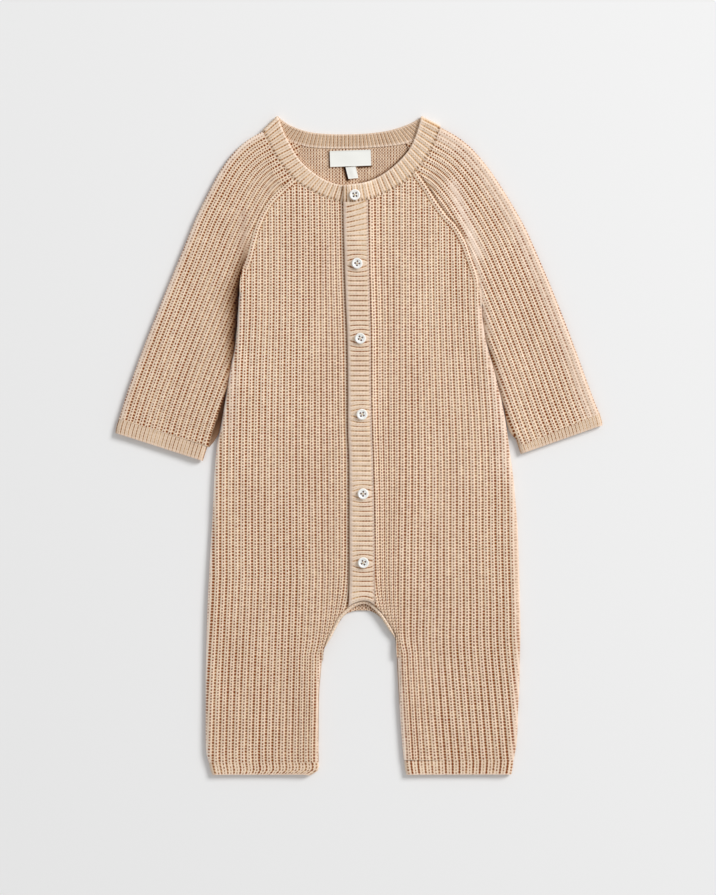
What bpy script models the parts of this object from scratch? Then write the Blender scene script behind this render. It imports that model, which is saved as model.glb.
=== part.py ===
"""Knitted baby romper, laid flat and face up.

A one-piece in chunky rib: crew neck, raglan sleeves, a full-length button band
down the front and two short legs.  Every piece that a maker knits and links on
is its own solid.  A piece of cloth is a sheet of middle points, worked out from
the tables below, which is then given its wall; the ribs are raised in the
wall's outer points over a plain inside.

Metres, +Z up.  +X runs to the wearer's left, +Y to the neck, and the origin
lies under the middle of the outline, on the surface that the romper lies on.
Table rows are in millimetres.
"""
import math
from collections import namedtuple

import bmesh
import bpy
import numpy as np

NAME = "baby_romper"
MM = 0.001

# ---------------------------------------------------------------- cloth sizes
WALL = 2.2 * MM            # knitted wall, measured in a groove
RIB_RAISE = 0.9 * MM       # a body rib's crest above its grooves
FINE_RAISE = 0.6 * MM      # the same in the neckband, button band, cuffs, hems
SEAM = 0.22 * MM           # each piece stops this far short of its seam line
PIECE_GAP = 0.3 * MM       # between a piece and what it lies on
FOLD_RADIUS = 3.2 * MM     # how softly a side edge turns under
FOLD_HEIGHT = 2.6 * MM     # where front and back meet at a side edge
FOLD_GAP = 0.2 * MM        # half the parting between them there
INNER_GAP = 0.15 * MM      # and no inner point comes nearer to the other layer
EDGE_INSET = 1.35 * MM     # from the outline to the middle of the wall
BACK_MID = WALL / 2        # the lower layer lies flat on the surface
FRONT_MID = 3.75 * MM      # the upper layer lies on the lower one
PUFF = 0.45 * MM           # the upper layer stands higher beside a fold
PUFF_WIDTH = 10.0 * MM
SLACK = 12.0 * MM          # a fold starts this far from an underarm or fork
START_EARLY = 20.0 * MM    # guide lines begin this far before the seam that cuts them

# ---------------------------------------------------------------- rib counts
LEG_RIBS = 17              # from the inner leg to the side seam, one layer
CROTCH_RIBS = 5            # from the button band to the inner leg
SLEEVE_RIBS = 15
CUFF_RIBS = 20
HEM_RIBS = 21
NECK_RIB_WIDTH = 4.1 * MM
BAND_RIB_WIDTH = 5.0 * MM

# ---------------------------------------------------------------- the rows
# Each half of the body, by height: the edge at the button band, the line of the
# inner leg (above the fork it follows a rib) and the side edge, all measured
# outwards from the centre line.  The top rows run on past the raglan seam.
Level = namedtuple("Level", "y band leg side")
RIGHT_HALF = [
    Level(-259.3, 7.4, 33.0, 123.2), Level(-245, 7.4, 33.2, 125.8), Level(-200, 7.4, 32.6, 125.9),
    Level(-166, 7.4, 28.9, 125.2), Level(-130, 7.2, 29.4, 124.2), Level(-93, 6.6, 30.2, 122.2),
    Level(-60, 6.6, 30.5, 120.5), Level(-6, 6.6, 31.0, 117.2), Level(21, 7.4, 31.1, 112.4),
    Level(58, 7.8, 31.2, 106.4), Level(83, 8.2, 31.3, 101.8), Level(119, 9.4, 31.5, 98.8),
    Level(131, 10.0, 31.6, 98.0), Level(170, 11.1, 31.8, 101.0), Level(270, 13.0, 33.0, 108.0),
]
LEFT_HALF = [
    Level(-257.5, 13.0, 36.9, 127.0), Level(-244, 13.0, 35.6, 129.3), Level(-207, 13.0, 32.9, 131.2),
    Level(-163, 13.0, 30.6, 132.4), Level(-130, 13.0, 31.5, 132.1), Level(-69, 12.8, 32.5, 130.3),
    Level(-37, 12.3, 33.0, 127.8), Level(-6, 11.4, 33.2, 124.0), Level(13, 10.7, 33.2, 121.6),
    Level(46, 10.0, 33.2, 115.2), Level(73, 9.9, 33.2, 108.0), Level(92, 9.8, 33.2, 103.3),
    Level(120, 9.1, 33.2, 100.9), Level(160, 8.0, 33.1, 104.0), Level(270, 7.2, 33.0, 110.0),
]
HEM_LINE = {"right": -259.3, "left": -257.5}
GUIDE_TOP, GUIDE_BOTTOM = 270 * MM, -262 * MM

# Raglan seams on the back run straight from the neckband to the underarm; they
# start here, outwards from the centre line.
Spot = namedtuple("Spot", "x y")
BACK_RAGLAN_START = {"right": Spot(46.5, 246.6), "left": Spot(38.5, 248.5)}

# Sleeves, from the shoulder to the cuff: the outer fold, and the inner edge,
# which is the front raglan seam down to the underarm and the underarm seam from
# there on.  Both are measured outwards from the centre line.
Cross = namedtuple("Cross", "outer_x outer_y inner_x inner_y")
SLEEVE = {
    "right": [
        Cross(79.3, 258.3, 55.0, 220.0), Cross(92.5, 250.3, 66.0, 210.5), Cross(104.0, 239.5, 76.4, 199.0),
        Cross(114.0, 225.5, 84.4, 183.4), Cross(123.5, 208.0, 89.6, 166.5), Cross(132.8, 189.4, 92.7, 154.0),
        Cross(139.5, 173.5, 95.9, 145.0), Cross(146.0, 157.5, 98.0, 131.0), Cross(161.0, 121.0, 101.6, 92.0),
        Cross(176.5, 82.0, 107.6, 54.0), Cross(190.0, 45.0, 117.2, 20.0), Cross(197.1, 22.4, 124.2, -0.6),
    ],
    "left": [
        Cross(67.0, 261.7, 47.4, 225.5), Cross(80.5, 254.0, 56.6, 212.4), Cross(91.5, 245.3, 64.5, 200.0),
        Cross(100.5, 235.3, 72.2, 189.6), Cross(108.5, 225.0, 80.1, 181.0), Cross(117.5, 211.5, 87.7, 168.0),
        Cross(127.0, 196.0, 92.7, 154.2), Cross(136.5, 179.0, 97.6, 139.4), Cross(146.0, 158.0, 100.9, 120.0),
        Cross(160.0, 125.0, 106.1, 84.0), Cross(176.0, 84.0, 116.0, 46.0), Cross(190.0, 45.5, 122.8, 15.0),
        Cross(197.6, 26.4, 128.7, 5.2),
    ],
}
UNDERARM = {"right": 131.0, "left": 120.0}
# Cuffs, from the sleeve's end to the open end.
CUFF = {
    "right": [Cross(197.3, 21.9, 124.4, -1.2), Cross(199.1, 16.0, 126.1, -6.6),
              Cross(199.9, 10.8, 127.9, -12.3)],
    "left": [Cross(197.8, 25.9, 128.9, 4.6), Cross(199.1, 21.6, 130.7, -1.0),
             Cross(199.9, 17.2, 132.5, -6.6)],
}
# Leg hems, from the leg's end to the open end.  The right one's inner corner
# turns up a little.
HEM = {
    "right": [Cross(123.1, -259.8, 33.0, -259.8), Cross(121.9, -265.4, 32.8, -265.2),
              Cross(120.5, -269.4, 39.6, -269.4)],
    "left": [Cross(126.9, -258.0, 36.9, -258.6), Cross(126.3, -263.6, 37.6, -264.4),
             Cross(125.3, -269.2, 38.5, -269.4)],
}

# Neckband: its rim and its seam, over the front from the right shoulder to the
# left, then over the back from the left shoulder to the right.
Band = namedtuple("Band", "rim_x rim_y seam_x seam_y")
NECK_FRONT = [
    Band(-65.8, 268.4, -78.2, 256.8), Band(-61.5, 257.0, -74.0, 248.2), Band(-55.3, 244.9, -68.6, 238.2),
    Band(-48.8, 234.6, -60.4, 227.0), Band(-39.4, 225.6, -50.6, 216.4), Band(-30.0, 219.2, -38.0, 208.8),
    Band(-20.6, 215.2, -26.0, 203.4), Band(-12.1, 213.8, -14.9, 200.4), Band(-3.6, 214.6, -4.1, 199.9),
    Band(3.9, 215.8, 5.7, 201.4), Band(11.5, 218.4, 16.0, 205.0), Band(20.9, 223.6, 28.0, 210.7),
    Band(31.2, 231.8, 40.0, 218.6), Band(40.4, 241.9, 50.6, 230.0), Band(45.0, 250.4, 57.2, 239.2),
    Band(48.3, 259.4, 62.4, 249.5), Band(50.6, 268.0, 66.2, 260.2),
]
NECK_BACK = [
    Band(49.8, 268.6, 65.6, 260.2), Band(40.7, 264.0, 54.0, 253.9), Band(31.2, 260.6, 40.0, 248.8),
    Band(21.8, 258.2, 26.6, 246.4), Band(7.7, 256.4, 10.0, 245.0), Band(-3.6, 255.8, -3.6, 244.4),
    Band(-16.8, 255.6, -17.0, 244.2), Band(-30.0, 256.2, -32.0, 244.6), Band(-39.4, 257.3, -43.0, 245.8),
    Band(-48.8, 259.8, -55.0, 249.4), Band(-57.6, 263.6, -68.0, 253.6), Band(-64.8, 268.6, -77.6, 256.6),
]
NECK_OVERLAP = (-12.6, 4.0)   # where the top end stops, and the end under it
BACK_IN_SIGHT = (-54.0, 44.0)  # the stretch of the back that the front leaves bare

# Button band: its free edge, laid over the right front, and its linked edge.
Strip = namedtuple("Strip", "y free linked")
BUTTON_BAND = [
    Strip(199.0, -12.9, 7.2), Strip(169, -12.3, 7.6), Strip(120, -10.8, 8.7), Strip(92, -9.6, 9.4),
    Strip(46, -9.0, 9.6), Strip(13, -9.0, 10.3), Strip(-12, -8.0, 11.2), Strip(-69, -7.8, 12.4),
    Strip(-110, -7.8, 12.6), Strip(-126.4, -8.6, 12.6),
]
BAND_LIFT = 2.75 * MM      # the upper band lies on the lower one
TUCKED_RIB = 0.35          # how far the rib beside the band's free edge still stands up
LIFT_OUTSIDE = 10.0 * MM   # the left front starts to rise this far from its edge
LIFT_INSIDE = 4.0 * MM     # and the band is level this far inside it
BAND_COLUMNS = (0.0, 0.62, 1.0)   # parts of its width, free edge to linked edge
UNDER_BAND_ROWS = 9
UNDER_BAND_START = 1.6 * MM
UNDER_BAND_STOP = 4.6 * MM

# The arch between the legs, from the right fork to the left one.
FRONT_ARCH = [Spot(-31.0, -171.5), Spot(-28.4, -166.0), Spot(-24.2, -157.0), Spot(-19.1, -147.0),
              Spot(-15.6, -140.6), Spot(-10.0, -135.0), Spot(-4.4, -130.6), Spot(2.9, -128.2),
              Spot(8.4, -129.2), Spot(12.6, -132.6), Spot(17.5, -137.8), Spot(21.9, -144.2),
              Spot(25.8, -150.4), Spot(29.2, -156.2), Spot(30.8, -162.6), Spot(33.0, -170.0)]
BACK_ARCH = [Spot(-31.0, -171.5), Spot(-28.4, -166.0), Spot(-23.6, -157.4), Spot(-18.2, -147.8),
             Spot(-12.0, -139.0), Spot(-4.4, -135.4), Spot(2.9, -134.8), Spot(10.0, -135.6),
             Spot(16.2, -139.4), Spot(21.3, -145.0), Spot(25.4, -151.0), Spot(29.2, -157.0),
             Spot(30.8, -162.6), Spot(33.0, -170.0)]
TRIM_RADIUS = 1.25 * MM
TRIM_STATIONS = 17
TRIM_ENDS = (-164.0, -157.0)  # its lowest points, right and left

# ---------------------------------------------------------------- fastenings
Button = namedtuple("Button", "x y")
BUTTONS = [Button(-3.4, 205.6), Button(-1.5, 149.5), Button(1.1, 88.1),
           Button(2.5, 25.9), Button(3.4, -39.1), Button(3.6, -95.5)]
BUTTON_RADIUS = 4.5 * MM
BUTTON_HEIGHT = 2.0 * MM
BUTTON_DISH_RADIUS = 3.2 * MM
BUTTON_DISH_DEPTH = 0.5 * MM
BUTTON_HOLE_RADIUS = 0.55 * MM
BUTTON_HOLE_SPACING = 2.1 * MM
BUTTON_SEAT = FRONT_MID + BAND_LIFT + WALL / 2 + FINE_RAISE + PIECE_GAP

LABEL = {"width": 33.6 * MM, "height": 13.0 * MM, "x": -7.0 * MM, "y": 236.0 * MM, "turn": 0.0}
SIZE_TAB = {"width": 9.8 * MM, "height": 9.6 * MM, "x": -5.7 * MM, "y": 223.9 * MM, "turn": 4.0}
TAB_THICKNESS = 0.6 * MM

# ---------------------------------------------------------------- mesh density
LEG_ROWS = 4               # hem to fork
BODY_ROWS = 9              # fork to neck or raglan
ARMHOLE_ROWS = 10          # sleeve: neckband to underarm
FOREARM_ROWS = 3           # sleeve: underarm to cuff
PLAIN_STEPS = 6            # across a plain hidden layer
PLAIN_WEDGE_STEPS = 3      # and from its middle to the inner leg
SAMPLES = 90               # points along a guide line before it is cut
FOLD_STEPS = (0.0, 0.12, 0.45)   # parts of the fold radius, besides 1
ON_FOLD = 0.01 * MM        # nearer to a fold's edge than this is on it

CAMEL = (0.62, 0.45, 0.31, 1.0)
PEARL = (0.93, 0.92, 0.89, 1.0)
LABEL_WHITE = (0.86, 0.87, 0.84, 1.0)

SIGN = {"right": -1.0, "left": 1.0}


# ================================================================ plan curves
def resampled(curve, count):
    """Evenly spaced points along a run of points."""
    steps = np.linalg.norm(np.diff(curve, axis=0), axis=1)
    along = np.concatenate([[0.0], np.cumsum(steps)])
    wanted = np.linspace(0.0, along[-1], count)
    return np.stack([np.interp(wanted, along, column) for column in curve.T], axis=1)


def softened(rows, count=SAMPLES):
    """Points along the soft curve through a table's rows (Catmull-Rom), in metres."""
    p = np.asarray(rows, float) * MM
    p = np.vstack([2 * p[0] - p[1], p, 2 * p[-1] - p[-2]])
    a, b, c, d = p[:-3], p[1:-2], p[2:-1], p[3:]
    pieces = []
    for s in np.linspace(0.0, 1.0, 9)[:-1]:
        pieces.append(0.5 * (2 * b + (c - a) * s + (2 * a - 5 * b + 4 * c - d) * s ** 2
                             + (3 * b - a - 3 * c + d) * s ** 3))
    curve = np.stack(pieces, axis=1).reshape(-1, p.shape[1])
    return resampled(np.vstack([curve, p[-2]]), count)


def moved(line, distance):
    """The line shifted sideways, to the left of its direction."""
    way = np.gradient(line, axis=0)
    way /= np.linalg.norm(way, axis=1, keepdims=True)
    return line + distance * np.stack([-way[:, 1], way[:, 0]], axis=1)


def begun_early(line, distance):
    """The line with a point added before its start."""
    way = line[0] - line[1]
    return np.vstack([line[0] + way * distance / np.linalg.norm(way), line])


def cross2(a, b):
    return a[..., 0] * b[..., 1] - a[..., 1] * b[..., 0]


def crossing(path, line):
    """How many steps along the path its first meeting with the line lies."""
    start, step = path[:-1, None], np.diff(path, axis=0)[:, None]
    a, reach = line[None, :-1], np.diff(line, axis=0)[None]
    area = cross2(step, reach)
    area = np.where(np.abs(area) < 1e-15, 1e-15, area)
    on_path = cross2(a - start, reach) / area
    on_line = cross2(a - start, step) / area
    meets = (on_path >= 0) & (on_path <= 1) & (on_line >= 0) & (on_line <= 1)
    first = int(np.argmax(meets.any(axis=1)))
    if not meets[first].any():
        raise ValueError("a column of cloth never meets its seam line")
    return first + float(on_path[first][meets[first]].min())


def span(path, start, stop, rows):
    """Rows + 1 points along the path between two places on it."""
    wanted = start + (stop - start) * np.linspace(0.0, 1.0, rows + 1)
    index = np.arange(len(path))
    return np.stack([np.interp(wanted, index, column) for column in path.T], axis=1)


def distance_to(points, line):
    """Distance in plan from each point to the nearest stretch of the line."""
    a, b = line[:-1], line[1:]
    way = b - a
    along = ((points[:, None] - a) * way).sum(axis=2) / (way ** 2).sum(axis=1)
    foot = a + np.clip(along, 0.0, 1.0)[..., None] * way
    return np.linalg.norm(points[:, None] - foot, axis=2).min(axis=1)


# ================================================================ heights
def turned(distance):
    """How far a layer has come up from the fold: 0 at the edge, 1 on the flat."""
    inside = 1.0 - np.clip(distance / FOLD_RADIUS, 0.0, 1.0)
    return np.sqrt(np.clip(1.0 - inside ** 2, 0.0, 1.0))


def upper_height(distance, gap):
    puff = PUFF * np.exp(-(np.maximum(distance - FOLD_RADIUS, 0.0) / PUFF_WIDTH) ** 2)
    low = FOLD_HEIGHT + gap
    return low + (FRONT_MID + puff - low) * turned(distance)


def lower_height(distance, gap):
    high = FOLD_HEIGHT - gap
    return high + (BACK_MID - high) * turned(distance)


def smoothstep(value):
    value = np.clip(value, 0.0, 1.0)
    return value * value * (3.0 - 2.0 * value)


def linked_edge(y):
    """Where the button band is linked to the left front, at a given height."""
    rows = softened([(row.y, row.linked) for row in BUTTON_BAND])
    return np.interp(y, rows[::-1, 0], rows[::-1, 1])


def band_lift(x, y):
    """How far the cloth stands up to pass over the band beneath it."""
    reach = (linked_edge(y) + LIFT_OUTSIDE - x) / (LIFT_OUTSIDE + LIFT_INSIDE)
    return BAND_LIFT * smoothstep(reach)


# ================================================================ sheets
FREE, ON_END, LEVEL = range(3)


class Sheet:
    """Middle points of a piece of cloth, on grids that share their edges.

    kept marks the points that the plain inside has too; a rib's crest has none.
    stance tells how the wall stands: FREE, ON_END at a fold's edge, LEVEL at a seam.
    """

    def __init__(self):
        self.points = np.zeros((0, 3))
        self.raise_out = np.zeros(0)
        self.kept = np.zeros(0, bool)
        self.stance = np.zeros(0, int)
        self.faces = []
        self.plain_faces = []

    def add_grid(self, points, raise_out, kept, closed=False, stance=None):
        """Add a grid of columns x rows; kept says which columns the inside has."""
        columns, rows = points.shape[:2]
        index = np.arange(columns * rows).reshape(columns, rows) + len(self.points)
        self.points = np.vstack([self.points, points.reshape(-1, 3)])
        self.raise_out = np.concatenate([self.raise_out, raise_out.reshape(-1)])
        self.kept = np.concatenate([self.kept, np.repeat(kept, rows)])
        if stance is None:
            stance = np.full((columns, rows), FREE)
        self.stance = np.concatenate([self.stance, stance.reshape(-1)])
        self.faces += self._quads(index, closed)
        self.plain_faces += self._quads(index[kept], closed)

    @staticmethod
    def _quads(index, closed):
        after = np.roll(index, -1, axis=0) if closed else index[1:]
        before = index if closed else index[:-1]
        quads = np.stack([before[:, :-1], after[:, :-1], after[:, 1:], before[:, 1:]], axis=-1)
        return quads.reshape(-1, 4).tolist()

    def join_edges(self):
        """Make one point of the points that lie on each other."""
        keys = np.round(self.points / (1e-3 * MM)).astype(np.int64)
        _, first, where = np.unique(keys, axis=0, return_index=True, return_inverse=True)
        where = where.reshape(-1)
        self.points = self.points[first]
        self.raise_out = self.raise_out[first]
        self.kept = self.kept[first]
        self.stance = self.stance[first]
        self.faces = [[int(where[i]) for i in face] for face in self.faces]
        self.plain_faces = [[int(where[i]) for i in face] for face in self.plain_faces]

    def turn_over(self):
        self.faces = [face[::-1] for face in self.faces]
        self.plain_faces = [face[::-1] for face in self.plain_faces]

    def normals(self):
        """Outward direction at each point: the mean of its faces' directions."""
        corners = self.points[np.array(self.faces)]
        across = np.cross(corners[:, 2] - corners[:, 0], corners[:, 3] - corners[:, 1])
        total = np.zeros_like(self.points)
        for corner in range(4):
            np.add.at(total, np.array(self.faces)[:, corner], across)
        total[self.stance == ON_END, 2] = 0.0
        total[self.stance == LEVEL, :2] = 0.0
        return total / np.linalg.norm(total, axis=1, keepdims=True)


def rim_faces(sheet, inner_index):
    """Faces that close the wall between the outer sheet and the plain inner one."""
    directed = {}
    for face in sheet.faces:
        for a, b in zip(face, face[1:] + face[:1]):
            directed[(a, b)] = True
    following = {a: b for a, b in directed if (b, a) not in directed}
    faces = []
    for start in following:
        if not sheet.kept[start]:
            continue
        run = [start, following[start]]
        while not sheet.kept[run[-1]]:
            run.append(following[run[-1]])
        faces.append(run[::-1] + [inner_index[run[0]], inner_index[run[-1]]])
    return faces


def wall_object(name, sheet, material, raise_in=None, parting=None):
    """Give a sheet its wall: outer points pushed out, inner ones pushed in.

    parting keeps the inner points that far above or below the height of a fold.
    """
    out = sheet.normals()
    outer = sheet.points + out * (WALL / 2 + sheet.raise_out)[:, None]
    inward = np.full(len(outer), WALL / 2) if raise_in is None else WALL / 2 + raise_in
    inner = (sheet.points - out * inward[:, None])[sheet.kept]
    if parting is not None:
        over = sheet.points[sheet.kept, 2] > FOLD_HEIGHT
        inner[over, 2] = np.maximum(inner[over, 2], FOLD_HEIGHT + parting)
        inner[~over, 2] = np.minimum(inner[~over, 2], FOLD_HEIGHT - parting)
    inner_index = np.full(len(outer), -1)
    inner_index[sheet.kept] = len(outer) + np.arange(len(inner))
    faces = list(sheet.faces)
    faces += [[int(inner_index[i]) for i in face[::-1]] for face in sheet.plain_faces]
    faces += [[int(i) for i in face] for face in rim_faces(sheet, inner_index)]
    return mesh_object(name, np.vstack([outer, inner]), faces, material)


def mesh_object(name, points, faces, material):
    mesh = bpy.data.meshes.new(name)
    mesh.from_pydata([tuple(point) for point in points], [], faces)
    mesh.validate()
    mesh.shade_smooth()
    mesh.set_sharp_from_angle(angle=math.radians(40.0))
    mesh.materials.append(material)
    body = bpy.data.objects.new(name, mesh)
    bpy.data.collections[NAME].objects.link(body)
    return body


def fabric(name, colour, roughness):
    material = bpy.data.materials.new(name)
    material.use_nodes = True
    shader = material.node_tree.nodes["Principled BSDF"]
    shader.inputs["Base Color"].default_value = colour
    shader.inputs["Roughness"].default_value = roughness
    shader.inputs["Metallic"].default_value = 0.0
    return material


def stances(distance, shape, level_rows=()):
    """On end along a fold, level along the given rows, and free elsewhere."""
    stance = np.full(shape, FREE)
    stance[:, list(level_rows)] = LEVEL
    stance[distance.reshape(shape) < ON_FOLD] = ON_END
    return stance


# ================================================================ columns
def rib_columns(ribs, width, start_fold, end_fold):
    """Places from 0 to 1 of a ribbed layer's columns, and which are crests.

    A folded edge gets a few close columns over its fold radius.
    """
    margin = FOLD_RADIUS / width
    lead = [step * margin for step in FOLD_STEPS] if start_fold else []
    tail = [1.0 - step * margin for step in FOLD_STEPS[::-1]] if end_fold else []
    first = margin if start_fold else 0.0
    last = 1.0 - margin if end_fold else 1.0
    middle = np.linspace(first, last, 2 * ribs + 1)
    crest = np.arange(2 * ribs + 1) % 2 == 1
    places = np.concatenate([lead, middle, tail])
    crests = np.concatenate([np.zeros(len(lead), bool), crest, np.zeros(len(tail), bool)])
    return places, crests


def plain_columns(steps, width, start_fold, end_fold):
    margin = FOLD_RADIUS / width
    lead = [step * margin for step in FOLD_STEPS] if start_fold else []
    tail = [1.0 - step * margin for step in FOLD_STEPS[::-1]] if end_fold else []
    first = margin if start_fold else 0.0
    last = 1.0 - margin if end_fold else 1.0
    return np.concatenate([lead, np.linspace(first, last, steps + 1), tail])


# ================================================================ the body
def edge_inset(y, fold_start, fold_end):
    """From a drawn edge to the middle of the wall: a seam's above a fold, then a fold's."""
    return SEAM + (EDGE_INSET - SEAM) * smoothstep((fold_start - y) / (fold_start - fold_end))


def body_guides(side):
    """The band edge, the inner leg and the side, each from the neck to the hem.

    Both halves are read at the same heights, so that they can share points.
    """
    rows = RIGHT_HALF if side == "right" else LEFT_HALF
    levels = softened([(row.y, row.band, row.leg, row.side) for row in rows], 4 * SAMPLES)
    height = np.linspace(GUIDE_TOP, GUIDE_BOTTOM, SAMPLES)
    band, leg, edge = (np.interp(height, levels[:, 0], levels[:, k]) for k in (1, 2, 3))
    underarm = UNDERARM[side] * MM
    edge = edge - edge_inset(height, underarm, underarm - SLACK)
    return [np.stack([SIGN[side] * offset, height], axis=1) for offset in (band, leg, edge)]


def level_line(y):
    return np.array([[-1.0, y], [1.0, y]])


def below(line, y):
    """The part of a line that runs from the neck to the hem below a height."""
    return line[line[:, 1] < y]


def neck_seam(front):
    rows = NECK_FRONT if front else NECK_BACK
    return softened([(row.seam_x, row.seam_y) for row in rows])


def armhole_step(curve, side):
    """Which sample of a sleeve's curve is its underarm corner."""
    return int(np.argmax(curve[:, 3] < UNDERARM[side] * MM))


def raglan(side, front):
    """The raglan seam, from the neckband to the underarm."""
    curve = softened(SLEEVE[side])
    seam = curve[:armhole_step(curve, side) + 1, 2:]
    if not front:
        start = BACK_RAGLAN_START[side]
        seam = np.array([(start.x * MM, start.y * MM), seam[-1]])
    return seam * (SIGN[side], 1.0)


def top_line(side, front):
    """Neck seam and raglan of one half, from the centre out past the underarm."""
    seam, seam_down = neck_seam(front), raglan(side, front)
    outwards = seam[:, 0] * SIGN[side]
    half = seam[(outwards < abs(seam_down[0, 0]) - MM) & (outwards > -15 * MM)]
    half = half[np.argsort(half[:, 0] * SIGN[side])]
    way = seam_down[-1] - seam_down[-2]
    past = seam_down[-1] + way * 5 * MM / np.linalg.norm(way)
    return np.vstack([half, seam_down, past])


def columns_of(front, width):
    """Places and crests of a leg's columns, then of the wedge's beside the band."""
    if front:
        places, crests = rib_columns(LEG_RIBS, width, True, True)
        wedge_count = 2 * CROTCH_RIBS + 1
        return places, crests, np.linspace(0.0, 1.0, wedge_count), np.arange(wedge_count) % 2 == 1
    places = plain_columns(PLAIN_STEPS, width, True, True)
    wedge_places = np.linspace(0.0, 1.0, PLAIN_WEDGE_STEPS + 1)
    return places, np.zeros(len(places), bool), wedge_places, np.zeros(len(wedge_places), bool)


def body_half(sheet, side, front):
    """Add one half of the front or back, with its leg, to a sheet."""
    sign = SIGN[side]
    band, leg, edge = body_guides(side)
    if not front:
        band = np.stack([np.zeros(len(band)), band[:, 1]], axis=1)
    arch = softened(FRONT_ARCH if front else BACK_ARCH)
    arch = moved(arch, TRIM_RADIUS + PIECE_GAP if front else 0.0)
    top = moved(top_line(side, front), -sign * SEAM)
    hem = level_line(HEM_LINE[side] * MM + SEAM)
    fork_y = span(leg, 0, crossing(leg, arch), 1)[1, 1]
    fork = level_line(fork_y)
    inset = edge_inset(leg[:, 1], fork_y, fork_y - SLACK) - SEAM
    leg = np.stack([leg[:, 0] + sign * inset, leg[:, 1]], axis=1)
    folds = [below(edge, UNDERARM[side] * MM - SLACK), below(leg, fork_y - SLACK)]
    width = float(np.abs(edge[:, 0] - leg[:, 0]).mean())
    places, crests, wedge_places, wedge_crests = columns_of(front, width)

    leg_grid, wedge_grid = [], []
    for place in places:
        path = leg + (edge - leg) * place
        high, middle, low = crossing(path, top), crossing(path, fork), crossing(path, hem)
        upper = span(path, high, middle, BODY_ROWS)
        lower = span(path, middle, low, LEG_ROWS)
        leg_grid.append(np.vstack([upper, lower[1:]]))
    for place in wedge_places[:-1]:
        path = band + (leg - band) * place
        wedge_grid.append(span(path, crossing(path, top), crossing(path, arch), BODY_ROWS))
    wedge_grid.append(leg_grid[0][:BODY_ROWS + 1])

    for grid, is_crest in ((leg_grid, crests), (wedge_grid, wedge_crests)):
        plan = np.array(grid)
        flat = plan.reshape(-1, 2)
        distance = np.minimum(distance_to(flat, folds[0]), distance_to(flat, folds[1]))
        if front:
            height = upper_height(distance, FOLD_GAP)
            if side == "left":
                height = height + band_lift(flat[:, 0], flat[:, 1])
        else:
            height = lower_height(distance, FOLD_GAP)
        raised = np.where(is_crest[:, None], RIB_RAISE, 0.0) * np.ones(plan.shape[:2])
        if front and side == "right" and grid is wedge_grid:
            raised[1] *= TUCKED_RIB
        points = np.column_stack([flat, height]).reshape(*plan.shape[:2], 3)
        sheet.add_grid(points, raised, ~is_crest, stance=stances(distance, plan.shape[:2], [0]))


def front_panel(side, wool):
    sheet = Sheet()
    body_half(sheet, side, True)
    sheet.join_edges()
    if sheet.normals()[:, 2].mean() < 0:
        sheet.turn_over()
    wall_object("front_" + side, sheet, wool, parting=INNER_GAP)


def back_panel(wool):
    halves = []
    for side in ("right", "left"):
        half = Sheet()
        body_half(half, side, False)
        if half.normals()[:, 2].mean() > 0:
            half.turn_over()
        halves.append(half)
    sheet = Sheet()
    for half in halves:
        offset = len(sheet.points)
        sheet.points = np.vstack([sheet.points, half.points])
        sheet.raise_out = np.concatenate([sheet.raise_out, half.raise_out])
        sheet.kept = np.concatenate([sheet.kept, half.kept])
        sheet.stance = np.concatenate([sheet.stance, half.stance])
        sheet.faces += [[i + offset for i in face] for face in half.faces]
        sheet.plain_faces += [[i + offset for i in face] for face in half.plain_faces]
    sheet.join_edges()
    wall_object("back", sheet, wool, parting=INNER_GAP)


# ================================================================ sleeves
def tube_guides(rows, side):
    """Outer and inner line of a flattened tube, at the middle of its wall."""
    curve = softened(rows)
    sign = SIGN[side]
    outer = np.stack([sign * curve[:, 0], curve[:, 1]], axis=1)
    inner = np.stack([sign * curve[:, 2], curve[:, 3]], axis=1)
    across = inner - outer
    across /= np.linalg.norm(across, axis=1, keepdims=True)
    return outer + across * EDGE_INSET, inner - across * EDGE_INSET


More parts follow.
